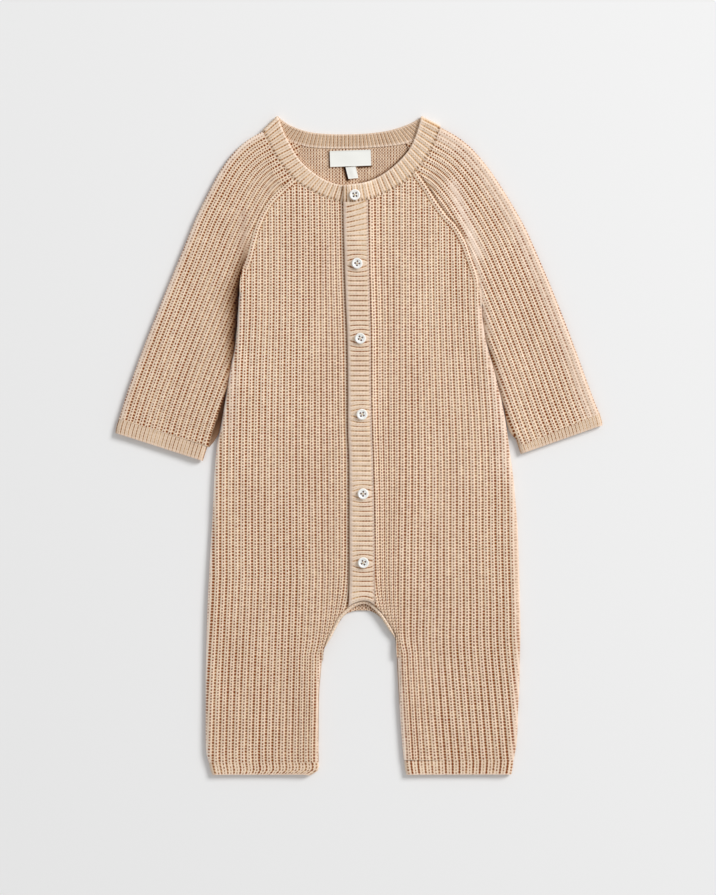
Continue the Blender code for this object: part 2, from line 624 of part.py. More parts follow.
def sleeve(side, wool):
    """One raglan sleeve: ribbed above, plain below, open along its underarm seam."""
    sign = SIGN[side]
    outer, inner = tube_guides(SLEEVE[side], side)
    underarm = UNDERARM[side] * MM
    across = inner - outer
    across /= np.linalg.norm(across, axis=1, keepdims=True)
    seam_share = 1.0 - smoothstep((underarm - inner[:, 1]) / SLACK)
    inner = inner + across * (seam_share * (EDGE_INSET - SEAM))[:, None]
    back_raglan = moved(raglan(side, False), sign * SEAM)
    armhole = armhole_step(softened(SLEEVE[side]), side)
    share = np.linspace(0.0, 1.0, armhole + 1)[:, None]
    inner_back = inner.copy()
    inner_back[:armhole + 1] = back_raglan[0] * (1 - share) + inner[armhole] * share

    folds = [outer, below(inner, underarm - SLACK)]
    width = float(np.linalg.norm(inner - outer, axis=1).mean())
    places, crests = rib_columns(SLEEVE_RIBS, width, True, True)
    plain = plain_columns(PLAIN_STEPS, width, True, True)
    layers = [(place, inner, True, crest) for place, crest in zip(places[::-1], crests[::-1])]
    layers += [(place, inner_back, False, False) for place in plain[1:]]
    index = np.arange(SAMPLES + 1)
    below_armhole = np.linspace(armhole + 1, SAMPLES, FOREARM_ROWS + 1)[1:]
    row_count = ARMHOLE_ROWS + FOREARM_ROWS + 1

    plan = []
    for place, inside, front, _ in layers:
        path = begun_early(outer + (inside - outer) * place, START_EARLY)
        seam = neck_seam(front)
        seam = seam[np.argsort(seam[:, 0] * sign)][::-1]
        reach = seam[0] + (seam[0] - seam[4])
        line = moved(np.vstack([reach, seam]), sign * SEAM)
        down_to_armhole = np.linspace(crossing(path, line), armhole + 1, ARMHOLE_ROWS + 1)
        wanted = np.concatenate([down_to_armhole, below_armhole])
        plan.append(np.stack([np.interp(wanted, index, column) for column in path.T], axis=1))
    plan = np.array(plan)
    flat = plan.reshape(-1, 2)
    to_outer, to_inner = distance_to(flat, folds[0]), distance_to(flat, folds[1])
    distance = np.minimum(to_outer, to_inner)
    gap = np.where(to_inner < to_outer, FOLD_GAP, 0.0)
    upper = np.repeat([layer[2] for layer in layers], row_count)
    height = np.where(upper, upper_height(distance, gap), lower_height(distance, gap))
    points = np.column_stack([flat, height]).reshape(*plan.shape[:2], 3)
    crest = np.array([layer[3] for layer in layers])
    raised = np.where(crest[:, None], RIB_RAISE, 0.0) * np.ones(plan.shape[:2])
    sheet = Sheet()
    stance = stances(distance, plan.shape[:2], [0])
    stance[[0, -1], :ARMHOLE_ROWS + 1] = LEVEL
    sheet.add_grid(points, raised, ~crest, stance=stance)
    if sheet.normals()[:len(places) * row_count, 2].mean() < 0:
        sheet.turn_over()
    wall_object("sleeve_" + side, sheet, wool, parting=INNER_GAP / 3)


# ================================================================ cuffs and hems
def ribbed_end(name, rows, side, ribs, wool):
    """A cuff or leg hem: a short flattened tube, ribbed on its upper side."""
    outer, inner = tube_guides(rows, side)
    steps = np.linspace(0, len(outer) - 1, len(rows)).round().astype(int)
    outer, inner = outer[steps], inner[steps]
    width = float(np.linalg.norm(inner - outer, axis=1).mean())
    places, crests = rib_columns(ribs, width, True, True)
    plain = plain_columns(PLAIN_STEPS, width, True, True)[1:-1]
    plan = np.array([outer + (inner - outer) * place for place in np.concatenate([places[::-1], plain])])
    upper = np.arange(len(plan)) < len(places)
    crest = np.concatenate([crests[::-1], np.zeros(len(plain), bool)])
    flat = plan.reshape(-1, 2)
    distance = np.minimum(distance_to(flat, outer), distance_to(flat, inner))
    is_upper = np.repeat(upper, len(rows))
    height = np.where(is_upper, upper_height(distance, 0.0), lower_height(distance, 0.0))
    points = np.column_stack([flat, height]).reshape(*plan.shape[:2], 3)
    raised = np.where(crest[:, None], FINE_RAISE, 0.0) * np.ones(plan.shape[:2])
    sheet = Sheet()
    sheet.add_grid(points, raised, ~crest, closed=True, stance=stances(distance, plan.shape[:2]))
    if sheet.normals()[:len(places) * len(rows), 2].mean() < 0:
        sheet.turn_over()
    wall_object(name, sheet, wool, parting=INNER_GAP / 3)


# ================================================================ neckband
def neck_stretch(rows):
    """A stretch of the neckband with two stations to a rib."""
    middle = (rows[:, :2] + rows[:, 2:]) / 2
    length = np.linalg.norm(np.diff(middle, axis=0), axis=1).sum()
    return resampled(rows, 2 * round(length / NECK_RIB_WIDTH) + 1)


def shoulder_turn(front_rows, back_row):
    """Stations and heights of the half turn that takes the band over a shoulder."""
    way = front_rows[-1] - front_rows[-2]
    way = way / np.linalg.norm((way[:2] + way[2:]) / 2)
    turn = np.radians([45.0, 90.0, 135.0])
    share = turn[:, None] / math.pi
    radius = (FRONT_MID - BACK_MID) / 2
    rows = front_rows[-1] * (1 - share) + back_row * share + way * radius * np.sin(turn)[:, None]
    return rows, BACK_MID + radius * (1 + np.cos(turn))


def neckband(wool):
    """One strip round the neck, whose ends overlap at the button band."""
    front, back = softened(NECK_FRONT, 400), softened(NECK_BACK, 400)
    for rows in (front, back):
        width = np.linalg.norm(rows[:, 2:] - rows[:, :2], axis=1)[:, None]
        rows[:, 2:] += (rows[:, :2] - rows[:, 2:]) * SEAM / width
    middle_x = (front[:, 0] + front[:, 2]) / 2
    top_stop, under_stop = (value * MM for value in NECK_OVERLAP)
    right = neck_stretch(front[middle_x < under_stop][::-1])
    left = neck_stretch(front[middle_x > top_stop])
    back = neck_stretch(back[::-1])
    right_turn, right_heights = shoulder_turn(right, back[0])
    left_turn, left_heights = shoulder_turn(left, back[-1])

    left_x, left_y = (left[:, 0] + left[:, 2]) / 2, (left[:, 1] + left[:, 3]) / 2
    left_lift = band_lift(left_x, np.minimum(left_y, BUTTON_BAND[0].y * MM))
    rows = np.vstack([right, right_turn, back, left_turn[::-1], left[::-1]])
    heights = np.concatenate([
        np.full(len(right), FRONT_MID), right_heights, np.full(len(back), BACK_MID),
        left_heights[::-1], (FRONT_MID + left_lift)[::-1]])
    turn = np.zeros(len(right_turn), bool)
    front_crest = np.concatenate([np.arange(len(right)) % 2 == 1, turn, np.zeros(len(back), bool),
                                  turn, np.arange(len(left)) % 2 == 1])
    in_sight = (back[:, 2] > BACK_IN_SIGHT[0] * MM) & (back[:, 2] < BACK_IN_SIGHT[1] * MM)
    back_crest = np.concatenate([np.zeros(len(right), bool), turn,
                                 (np.arange(len(back)) % 2 == 1) & in_sight, turn,
                                 np.zeros(len(left), bool)])

    rim = np.column_stack([rows[:, :2], heights])
    seam = np.column_stack([rows[:, 2:], heights])
    points = np.stack([rim, seam], axis=1)
    raise_out = np.where(front_crest[:, None], FINE_RAISE, 0.0) * np.ones(points.shape[:2])
    raise_in = np.where(back_crest[:, None], FINE_RAISE, 0.0) * np.ones(points.shape[:2])
    sheet = Sheet()
    sheet.add_grid(points, raise_out, ~front_crest)
    if sheet.normals()[:len(right), 2].mean() < 0:
        sheet.turn_over()
    wall_object("neckband", sheet, wool, raise_in=raise_in.reshape(-1))


# ================================================================ button bands
def band_strip(count):
    """Evenly spaced rows down the band: height, free edge and linked edge."""
    rows = softened([(row.y, row.free, row.linked) for row in BUTTON_BAND])
    return resampled(rows, count)


def button_band(wool):
    """The band that shows, ribbed across, with its linked edge lower down."""
    length = (BUTTON_BAND[0].y - BUTTON_BAND[-1].y) * MM
    rows = band_strip(2 * round(length / BAND_RIB_WIDTH) + 1)
    crest = np.arange(len(rows)) % 2 == 1
    columns = []
    for share in BAND_COLUMNS:
        x = rows[:, 1] + (rows[:, 2] - SEAM - rows[:, 1]) * share
        columns.append(np.column_stack([x, rows[:, 0], FRONT_MID + band_lift(x, rows[:, 0])]))
    points = np.stack(columns, axis=1)
    raised = np.where(crest[:, None], FINE_RAISE, 0.0) * np.ones(points.shape[:2])
    sheet = Sheet()
    sheet.add_grid(points, raised, ~crest)
    if sheet.normals()[:, 2].mean() < 0:
        sheet.turn_over()
    wall_object("button_band", sheet, wool)


def under_band(wool):
    """The band beneath, plain, that the buttons are sewn to."""
    rows = band_strip(UNDER_BAND_ROWS)
    left = np.column_stack([rows[:, 1] + UNDER_BAND_START, rows[:, 0], np.full(len(rows), FRONT_MID)])
    right = np.column_stack([rows[:, 2] - UNDER_BAND_STOP, rows[:, 0], np.full(len(rows), FRONT_MID)])
    points = np.stack([left, right], axis=1)
    sheet = Sheet()
    sheet.add_grid(points, np.zeros(points.shape[:2]), np.ones(len(rows), bool))
    if sheet.normals()[:, 2].mean() < 0:
        sheet.turn_over()
    wall_object("under_band", sheet, wool)


# ================================================================ trim
def crotch_trim(wool):
    """A narrow rolled edge round the front of the arch."""
    path = softened(FRONT_ARCH)
    lowest = np.where(path[:, 0] < 0, TRIM_ENDS[0], TRIM_ENDS[1]) * MM
    path = path[path[:, 1] > lowest]
    path = resampled(path, TRIM_STATIONS)
    lane = bpy.data.curves.new("crotch_trim", "CURVE")
    lane.dimensions = "3D"
    lane.bevel_depth = TRIM_RADIUS
    lane.bevel_resolution = 2
    lane.use_fill_caps = True
    spline = lane.splines.new("POLY")
    spline.points.add(len(path) - 1)
    centre = WALL + PIECE_GAP + TRIM_RADIUS
    for point, (x, y) in zip(spline.points, path):
        point.co = (x, y, centre, 1.0)
    lane.materials.append(wool)
    trim = bpy.data.objects.new("crotch_trim", lane)
    bpy.data.collections[NAME].objects.link(trim)


# ================================================================ buttons, labels
def drilled_disc(pearl):
    """A four-hole button: a turned disc with a shallow dish, drilled through."""
    profile = [(0.0, BUTTON_HEIGHT - BUTTON_DISH_DEPTH),
               (BUTTON_DISH_RADIUS - 0.5 * MM, BUTTON_HEIGHT - BUTTON_DISH_DEPTH),
               (BUTTON_RADIUS - 0.6 * MM, BUTTON_HEIGHT),
               (BUTTON_RADIUS, BUTTON_HEIGHT - 0.7 * MM),
               (BUTTON_RADIUS - 0.8 * MM, 0.0), (0.0, 0.0)]
    shape = bmesh.new()
    points = [shape.verts.new((radius, 0.0, height)) for radius, height in profile]
    edges = [shape.edges.new(pair) for pair in zip(points, points[1:])]
    bmesh.ops.spin(shape, geom=points + edges, axis=(0, 0, 1), cent=(0, 0, 0),
                   angle=2 * math.pi, steps=18, use_merge=True)
    bmesh.ops.remove_doubles(shape, verts=shape.verts, dist=0.01 * MM)
    bmesh.ops.recalc_face_normals(shape, faces=shape.faces)
    mesh = bpy.data.meshes.new("button")
    shape.to_mesh(mesh)
    shape.free()
    mesh.materials.append(pearl)
    return mesh


def hole_cutter():
    """Four drills in one object, for a Boolean."""
    shape = bmesh.new()
    half = BUTTON_HOLE_SPACING / 2
    for x in (-half, half):
        for y in (-half, half):
            drill = bmesh.ops.create_cone(shape, cap_ends=True, segments=6, radius1=BUTTON_HOLE_RADIUS,
                                          radius2=BUTTON_HOLE_RADIUS, depth=4 * BUTTON_HEIGHT)
            bmesh.ops.translate(shape, verts=drill["verts"], vec=(x, y, 0.0))
    mesh = bpy.data.meshes.new("button_drills")
    shape.to_mesh(mesh)
    shape.free()
    return mesh


def buttons(pearl):
    disc, drills = drilled_disc(pearl), hole_cutter()
    for number, place in enumerate(BUTTONS, start=1):
        where = (place.x * MM, place.y * MM, BUTTON_SEAT)
        cutter = bpy.data.objects.new(f"drills_{number}", drills)
        cutter.location = where
        cutter.display_type = "WIRE"
        cutter.hide_render = True
        bpy.data.collections["cutters"].objects.link(cutter)
        body = bpy.data.objects.new(f"button_{number}", disc)
        body.location = where
        bpy.data.collections[NAME].objects.link(body)
        cut = body.modifiers.new("holes", "BOOLEAN")
        cut.operation = "DIFFERENCE"
        cut.object = cutter


def woven_tab(name, sizes, white):
    """A flat woven label, sewn to the inside of the back."""
    shape = bmesh.new()
    bmesh.ops.create_cube(shape, size=1.0)
    bmesh.ops.scale(shape, vec=(sizes["width"], sizes["height"], TAB_THICKNESS), verts=shape.verts)
    mesh = bpy.data.meshes.new(name)
    shape.to_mesh(mesh)
    shape.free()
    mesh.materials.append(white)
    tab = bpy.data.objects.new(name, mesh)
    tab.location = (sizes["x"], sizes["y"], WALL + PIECE_GAP + TAB_THICKNESS / 2)
    tab.rotation_euler[2] = math.radians(sizes["turn"])
    bpy.data.collections[NAME].objects.link(tab)


# ================================================================ assembly
def main():
    for item in list(bpy.data.objects):
        bpy.data.objects.remove(item)
    for group in (NAME, "cutters"):
        if group not in bpy.data.collections:
            bpy.context.scene.collection.children.link(bpy.data.collections.new(group))
    wool = fabric("camel_knit", CAMEL, 0.85)
    pearl = fabric("pearl", PEARL, 0.25)
    white = fabric("woven_white", LABEL_WHITE, 0.7)

    back_panel(wool)
    for side in ("right", "left"):
        front_panel(side, wool)
        sleeve(side, wool)
        ribbed_end("cuff_" + side, CUFF[side], side, CUFF_RIBS, wool)
        ribbed_end("leg_hem_" + side, HEM[side], side, HEM_RIBS, wool)
    neckband(wool)
    under_band(wool)
    button_band(wool)
    crotch_trim(wool)
    buttons(pearl)
    woven_tab("label", LABEL, white)
    woven_tab("size_tab", SIZE_TAB, white)


main()
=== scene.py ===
"""Stitches, yarn, buttons and labels of a knitted baby romper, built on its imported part.

Metres, +Z up.  +X runs to the wearer's left, +Y to the neck.  Table rows are in
millimetres.  A piece of cloth is a lattice of middle points, columns by rows, whose
columns follow the ribs and whose rows follow the knitted rows; it is cut at its
seams, and its relief and its wall are then added along the surface's direction.
"""
import math
from collections import namedtuple

import bpy
import numpy as np
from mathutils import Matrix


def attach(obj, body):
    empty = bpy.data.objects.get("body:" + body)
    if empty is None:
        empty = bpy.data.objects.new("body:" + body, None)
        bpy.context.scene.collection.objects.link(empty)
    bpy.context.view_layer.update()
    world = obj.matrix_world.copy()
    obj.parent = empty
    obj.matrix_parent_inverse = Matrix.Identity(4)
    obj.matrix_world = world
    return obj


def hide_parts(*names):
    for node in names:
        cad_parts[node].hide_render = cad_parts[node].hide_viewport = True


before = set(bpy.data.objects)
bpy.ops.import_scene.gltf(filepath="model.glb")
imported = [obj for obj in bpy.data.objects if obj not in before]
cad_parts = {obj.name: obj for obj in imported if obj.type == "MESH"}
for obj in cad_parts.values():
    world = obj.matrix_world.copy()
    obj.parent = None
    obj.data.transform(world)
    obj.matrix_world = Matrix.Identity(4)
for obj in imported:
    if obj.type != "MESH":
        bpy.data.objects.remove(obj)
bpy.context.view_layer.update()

bl_info = {
    "name": "Knitted baby romper",
    "version": (1, 0, 0),
    "blender": (4, 5, 0),
    "location": "3D View > Sidebar > Romper",
    "description": "Stitches, yarn, buttons and labels of a knitted baby romper",
    "category": "Object",
}

MM = 0.001
TAU = 2 * math.pi
PIXEL_HEIGHT = 895
PIXEL_WIDTH = 716

# ---------------------------------------------------------------- cloth
WALL = 2.2 * MM
SEAM = 0.05 * MM           # each piece stops this far short of its seam line
PIECE_GAP = 0.3 * MM
END_REACH = 0.7 * MM       # how much further a cuff or hem starts, to meet its sleeve or leg
END_RELIEF = 0.25 * MM     # of sleeve and cuff where they meet
FOLD_RADIUS = 3.2 * MM
FOLD_HEIGHT = 2.6 * MM     # where front and back meet at a side edge
FOLD_GAP = 0.05 * MM       # half the parting between them there
EDGE_INSET = 1.35 * MM     # from the outline to the middle of the wall
BACK_MID = WALL / 2
FRONT_MID = 3.75 * MM
PUFF = 0.45 * MM
PUFF_WIDTH = 10.0 * MM
SLACK = 6.0 * MM           # below the underarm, over which a seam becomes two folds
ROW = 2.44 * MM            # height of a knitted row
ROW_STEPS = 3              # lattice rows to a knitted row
STEP = ROW / ROW_STEPS
DARKEST = 0.03             # least tone
RIM_ANGLE = 72             # degrees; a cloth's cut edges are sharper than this
COARSE = 12                # lattice rows to a row of the plain inside
BACK_COARSE = 4            # the same in the back, which has one to a knitted row
END_COARSE = 4             # the same in the cuffs and hems
BAND_COARSE = 8            # the same in the button band
ARM_SLOPE = 1.25           # rows that a stitch's arm climbs from a rib's middle to its edge
CREST_POWER = 1.4          # above 1, a rib's crest is broader than its groove
STRAND_LEAST, STRAND_MORE = 0.45, 0.55   # the arms' height in a groove, and what a crest adds
INSIDE_SLOPE = 1.5         # the same on the back's inside
RIB_PLACES = (0.0, 0.12, 0.30, 0.50, 0.70, 0.88)   # columns across a rib
PLAIN_PLACES = (0.0, 0.25, 0.5, 0.75)              # the same on a sleeve's lower layer
FIRST_PLACES = {"body": (0.05, 0.2), "sleeve": (0.04, 0.22)}   # more columns beside the first fold
TURN_PLACES = np.array([[0.68], [0.4], [0.18], [0.05], [0.0]])   # the last fold's, as shares of it
FOLD_SHARE = {"body": 0.6, "sleeve": 0.5}          # the most that a fold takes of the strip beside it
FIT_REACH, FIT_SPARE = 60 * MM, 0.2                # whole ribs fit the width this near the underarm
FOLLOW_RIBS = 3.0          # ribs beside the inner leg that follow its edge
LEAST_STRIP = 0.2 * MM
WEDGE_RIBS = 5             # from the button band to the inner leg
ON_EDGE = 0.01 * MM        # a point this close to a folded edge lies on it
FAR = 1.0                  # a metre: more than any gap on the part

# A measure that sets in: 0 up to its start, its amount a way further on, and soft between.
Fade = namedtuple("Fade", "amount start way")
# A measure that is strongest at its middle: amount * exp(-((value - middle) / width)^2).
Bell = namedtuple("Bell", "amount middle width")
CREST_DIP = Bell(0.55, 0.0, 0.22)   # across a rib


def rows_of(kind, *rows):
    """A table whose rows have named values."""
    return [kind(*row) for row in rows]


# ---------------------------------------------------------------- the part's rows
Level = namedtuple("Level", "y band leg side")
RIGHT_HALF = rows_of(
    Level, (-259.3, 7.4, 33.0, 123.2), (-245, 7.4, 33.2, 125.8), (-200, 7.4, 32.6, 125.9),
    (-166, 7.4, 28.9, 125.2), (-130, 7.2, 29.4, 124.2), (-93, 6.6, 30.2, 122.2), (-60, 6.6, 30.5, 120.5),
    (-6, 6.6, 31.0, 117.2), (21, 7.4, 31.1, 112.4), (58, 7.8, 31.2, 106.4), (83, 8.2, 31.3, 101.8),
    (119, 9.4, 31.5, 98.8), (131, 10.0, 31.6, 98.0), (170, 11.1, 31.8, 101.0), (270, 13.0, 33.0, 108.0))
LEFT_HALF = rows_of(
    Level, (-257.5, 13.0, 36.9, 127.0), (-244, 13.0, 35.6, 129.3), (-207, 13.0, 32.9, 131.2),
    (-163, 13.0, 30.6, 132.4), (-130, 13.0, 31.5, 132.1), (-69, 12.8, 32.5, 130.3),
    (-37, 12.3, 33.0, 127.8), (-6, 11.4, 33.2, 124.0), (13, 10.7, 33.2, 121.6), (46, 10.0, 33.2, 115.2),
    (73, 9.9, 33.2, 108.0), (92, 9.8, 33.2, 103.3), (120, 9.1, 33.2, 100.9), (160, 8.0, 33.1, 104.0),
    (270, 7.2, 33.0, 110.0))
HEM_LINE = {"right": -259.3, "left": -257.5}
FORK = {"right": -169.0, "left": -168.0}
LATTICE_TOP, LATTICE_BOTTOM = 262 * MM, -262 * MM
BACK_FINE = 192 * MM       # the back's inside shows above this
INSIDE_RIBS = 2            # chains on the inside to a rib of the outside
# Width of a rib, by height.
Pitch = namedtuple("Pitch", "y width")
RIB_PITCH = {
    "right": rows_of(
        Pitch, (-262, 5.42), (-196, 5.38), (-122, 5.25), (-32, 5.17), (54, 5.03), (120, 4.80),
        (262, 4.70)),
    "left": rows_of(
        Pitch, (-262, 5.68), (-200, 5.63), (-89, 5.33), (9, 5.15), (120, 4.67), (262, 4.55)),
}

# Heights between which a leg's ribs run straight, whatever its inner edge does.
STRAIGHT_RIBS = {"right": (-250, -105), "left": (-260, -225)}

# ---------------------------------------------------------------- yarn
# How soon each channel falls as the yarn deepens into its painted shade, how fast with a darker
# tone, and how much painted shade a groove takes.
YARN_CHANNELS = ((1.0, 1.0, 0.0), (0.84, 1.25, 0.10), (0.6, 1.5, 0.26))
PALE_SHARE = 0.65          # how much of the deep yarn's extra warmth a washed place loses
FEET_LINES = (-0.08, -0.26)   # heights between which the grooves' painted shade closes up into lines
# Ramps of the painted shade in the gaps between stitches: across a rib, where 0 is its middle
# and 1 its groove, and along it, where 1 is the middle of a gap.
GROOVE_GAP = ((0.52, 0.84), (0.16, 0.66))
MIDDLE_GAP = ((0.34, 0.08), (0.2, 0.75))
GROOVE, VEIN = (0.62, 1.0), (0.34, 0.0)
PLIES = 3                  # turns of the yarn's twist along a stitch's arm
GROOVE_DEEP, MIDDLE_DEEP, ARM_DEEP = 1.2, 1.0, 0.16   # share of each in a stitch's painted shade
# Noises: bumps to a metre, detail and, for one, squeeze; then the ramps that some pass through.
WANDER_NOISE, WANDER = (140.0, 2.0), 0.9   # rows that a knitted row strays
STRETCH_NOISE, STRETCH_RAMP = (75.0, 2.0, (1.0, 0.16, 1.0)), (0.36, 0.64)   # along a rib
STRETCH_MORE, STRETCH_LEAST = 0.7, 0.65
UNEVEN_NOISE, UNEVEN_RAMP = (330.0, 1.0), (0.3, 0.7)   # from gap to gap
UNEVEN_MORE, UNEVEN_LEAST = 0.9, 0.58
FUZZ_NOISE, FUZZ, TWIST = (1200.0, 3.0), 0.34, 0.05    # loose fibres, and the ply, in the shade
SLOW_NOISE, SLOW = (28.0, 3.0), 0.16                   # in the tone
QUICK_NOISE, QUICK, TONE_LEAST = (210.0, 2.0), 0.22, 0.81
FAINT_SHADE = 0.20         # the even shade of a washed place
FAINT_FUZZ, FAINT_BUMP = 0.5, 0.6   # share of the fibres and of the bump that it loses
SHADE_RAMP = (-0.08, 0.98)
# The bump: height of the arm, the ply, the fibres and the two kinds of gap; its depth and strength.
BUMP_ARM, BUMP_PLY, BUMP_FUZZ, BUMP_GROOVE, BUMP_MIDDLE = 0.55, 0.14, 0.40, 0.5, 0.35
BUMP_DEPTH, BUMP_STRENGTH = 0.32 * MM, 0.8

Spot = namedtuple("Spot", "x y")
BACK_RAGLAN_START = {"right": Spot(46.5, 246.6), "left": Spot(38.5, 248.5)}
Cross = namedtuple("Cross", "outer_x outer_y inner_x inner_y")
SLEEVE = {
    "right": rows_of(
        Cross, (79.3, 258.3, 55.0, 220.0), (92.5, 250.3, 66.0, 210.5), (104.0, 239.5, 76.4, 199.0),
        (114.0, 225.5, 84.4, 183.4), (123.5, 208.0, 89.6, 166.5), (132.8, 189.4, 92.7, 154.0),
        (139.5, 173.5, 95.9, 145.0), (146.0, 157.5, 98.0, 131.0), (161.0, 121.0, 101.6, 92.0),
        (176.5, 82.0, 107.6, 54.0), (190.0, 45.0, 117.2, 20.0), (197.1, 22.4, 124.2, -0.6)),
    "left": rows_of(
        Cross, (67.0, 261.7, 47.4, 225.5), (80.5, 254.0, 56.6, 212.4), (91.5, 245.3, 64.5, 200.0),
        (100.5, 235.3, 72.2, 189.6), (108.5, 225.0, 80.1, 181.0), (117.5, 211.5, 87.7, 168.0),
        (127.0, 196.0, 92.7, 154.2), (136.5, 179.0, 97.6, 139.4), (146.0, 158.0, 100.9, 120.0),
        (160.0, 125.0, 106.1, 84.0), (176.0, 84.0, 116.0, 46.0), (190.0, 45.5, 122.8, 15.0),
        (197.6, 26.4, 128.7, 5.2)),
}
UNDERARM = {"right": 131.0, "left": 120.0}
SLEEVE_RIB = 4.95 * MM
SEAM_RIB = 5.4 * MM        # the rib that runs along each raglan seam
SLEEVE_FIT = {"front": 8, "back": 4}     # ribs that run the sleeve's whole length
EDGE_PALE = {"right": (0.3, 3.5), "left": (0.8, 4.5)}   # painted highlight along the body's folds, stronger on the left half, whose side fold faces the light: how faint, how wide
LEG_MIDDLE = 75 * MM       # folds beyond it, towards the right, face away from the light
SLEEVE_TONE = {"right": 0.95, "left": 1.0}
RAGLAN_POINTS = 60         # along the back's straight raglan
NECK_APART = 0.5 * MM      # the neck's points keep this far from the raglans
NECK_SIDE = 20 * MM        # the neck's seam beyond this is the sleeve's edge
SLEEVE_MORE = 24           # millimetres that the lattice starts above the sleeve's first row
OUTER_PALE = {"right": 4.0, "left": 15.0}    # width of the painted highlight along the outer fold
OUTER_FAINT, OUTER_START = 0.66, 0.25        # how faint it is, and the share of its width where it fades
OUTER_FOLD = {"right": Bell(0.35, 0.0, 1.5 * MM), "left": Bell(-0.05, 0.0, 1.5 * MM)}   # painted light on the right sleeve's fold, which faces away from the light, and a little painted shade on the left one, which faces it
LOWER_TONE = 0.85          # of the sleeve's lower layer
# Heights between which the sleeve's inner fold comes in to the body's side; the part drawn in
# is painted dark with the armpit's shadow, in place of the shadowed gap beside the body.
TUCK = {"right": (-6, 12), "left": (6, 60)}
# Shadow on the sleeve beside the body, by height: its depth there and how far it reaches.
Shade = namedtuple("Shade", "y depth reach")
ARMPIT = {
    "right": rows_of(
        Shade, (172, 0, 7), (160, 0.3, 6), (152, 0.62, 5.5), (141, 0.95, 5.5), (129, 1.05, 8),
        (117, 1.15, 8), (104, 1.1, 6.5), (92, 1.08, 6.5), (80, 0.95, 5), (66, 0.95, 2.9), (38, 0.95, 1.0),
        (22, 0.93, 0.5), (10, 0.8, 0.5), (2, 0.6, 0.5), (-4, 0.4, 0.5)),
    "left": rows_of(
        Shade, (120, 0, 4), (105, 0.15, 3.5), (60, 0.3, 3), (20, 0.35, 2.5), (0, 0.3, 2)),
}
SHADE_POWER = 1.4          # how sharply that shadow ends
# Painted shade along the raglan seam, from one height to another, and its strength.
SEAM_LINE = {"right": (240, 226, 0.15), "left": (226, 166, 0.6)}
LINE_FADE = 8              # millimetres of height over which it begins and ends
LINE_ACROSS = Bell(1.0, 0.0, 1.1 * MM)
# At the sleeve's seam its ribs sink in, and a groove runs along it.
SLEEVE_SINK, SLEEVE_GROOVE = Fade(1.0, 0.0, 1.6 * MM), Bell(0.15 * MM, 0.0, 1.3 * MM)
TUCKED = Fade(1.0, 0.0, 0.8 * MM)   # where the sleeve passes its drawn inner edge, into that painted shadow, its stitches go faint
END_EASE = 2 * MM          # way over which a sleeve's relief becomes that of its cuff
# The body's seam ribs: where they may lie, how wide, and how they end above the underarm.
SEAM_SIDE, SEAM_BELOW = 40 * MM, 12 * MM
RIDGE_RIBS, RIDGE_EDGE = 1.08, 0.6 * MM
RIDGE_ABOVE, RIDGE_FADE = 1, 22 * MM
RIDGE_RAISE, RIDGE_BULGE = 1.1, Bell(0.35 * MM, 0.5, 0.45)
# Tone, faintness and relief of the body's cloth at its folds, its top line and its arch.
TOP_TONE, TOP_LIGHTER = 0.93, Fade(0.07, 0.0, 2.0 * MM)
TOP_GROOVE = Bell(0.1 * MM, 0.0, 1.2 * MM)
FOLD_PALE_LEAST, FOLD_PALER = 0.4, Fade(0.6, 0.0, 1.4 * MM)
FOLD_PALE_START = 0.8 * MM
FOLD_WALL = Fade(0.85, 0.3 * MM, 0.9 * MM)   # how faint the stitches are on a fold's steep side
AWAY_FOLD = Bell(0.4, 0.0, 1.2 * MM)         # painted light on the folds that face away from the light
FLATTENED = 0.6            # share of its relief that a washed place loses
ARCH_THIN, ARCH_THIN_WAY = 0.6 * MM, 2.5 * MM   # the front is thinner beside the trim
BENEATH_BANDS = Fade(1.0, 8.5 * MM, 3 * MM)  # |x| up to which the right front is plain
SUNK = 0.5                 # share of a rib's height that lies within a lower layer's wall
INSIDE_RAISE, INSIDE_STRANDS, INSIDE_DEEP = 0.3 * MM, 0.2 * MM, 0.93 * MM   # the back's inside
DAYLIGHT = Fade(0.07, 0.0, 400 * MM)         # painted shade: the cloth darkens by this from a height downwards
DAYLIGHT_TOP = 120 * MM
RIM_SHADOW = Bell(0.7, 0.0, 1.7 * MM)
FREE_EDGE_SHADOW = Bell(0.5, -0.2 * MM, 0.65 * MM)
CREASE_FADE = 6 * MM       # way over which the creases fade out towards a fold
# Patches of painted light and shade, and of flattened stitches: from one place to another, half width, tone,
# faintness.
Wash = namedtuple("Wash", "x1 y1 x2 y2 width tone faint")
WASHES = rows_of(
    Wash, (77, 214, 97, 158, 5.5, 0.06, 0.8), (92, 176, 106, 92, 3.0, 0.05, 0.6),
    (-95, 190, -94, 150, 4.0, -0.14, 0.6), (111, 60, 119, -20, 7.0, 0.03, 0.5),
    (-102, 62, -106, 14, 5.0, 0.0, 0.5))
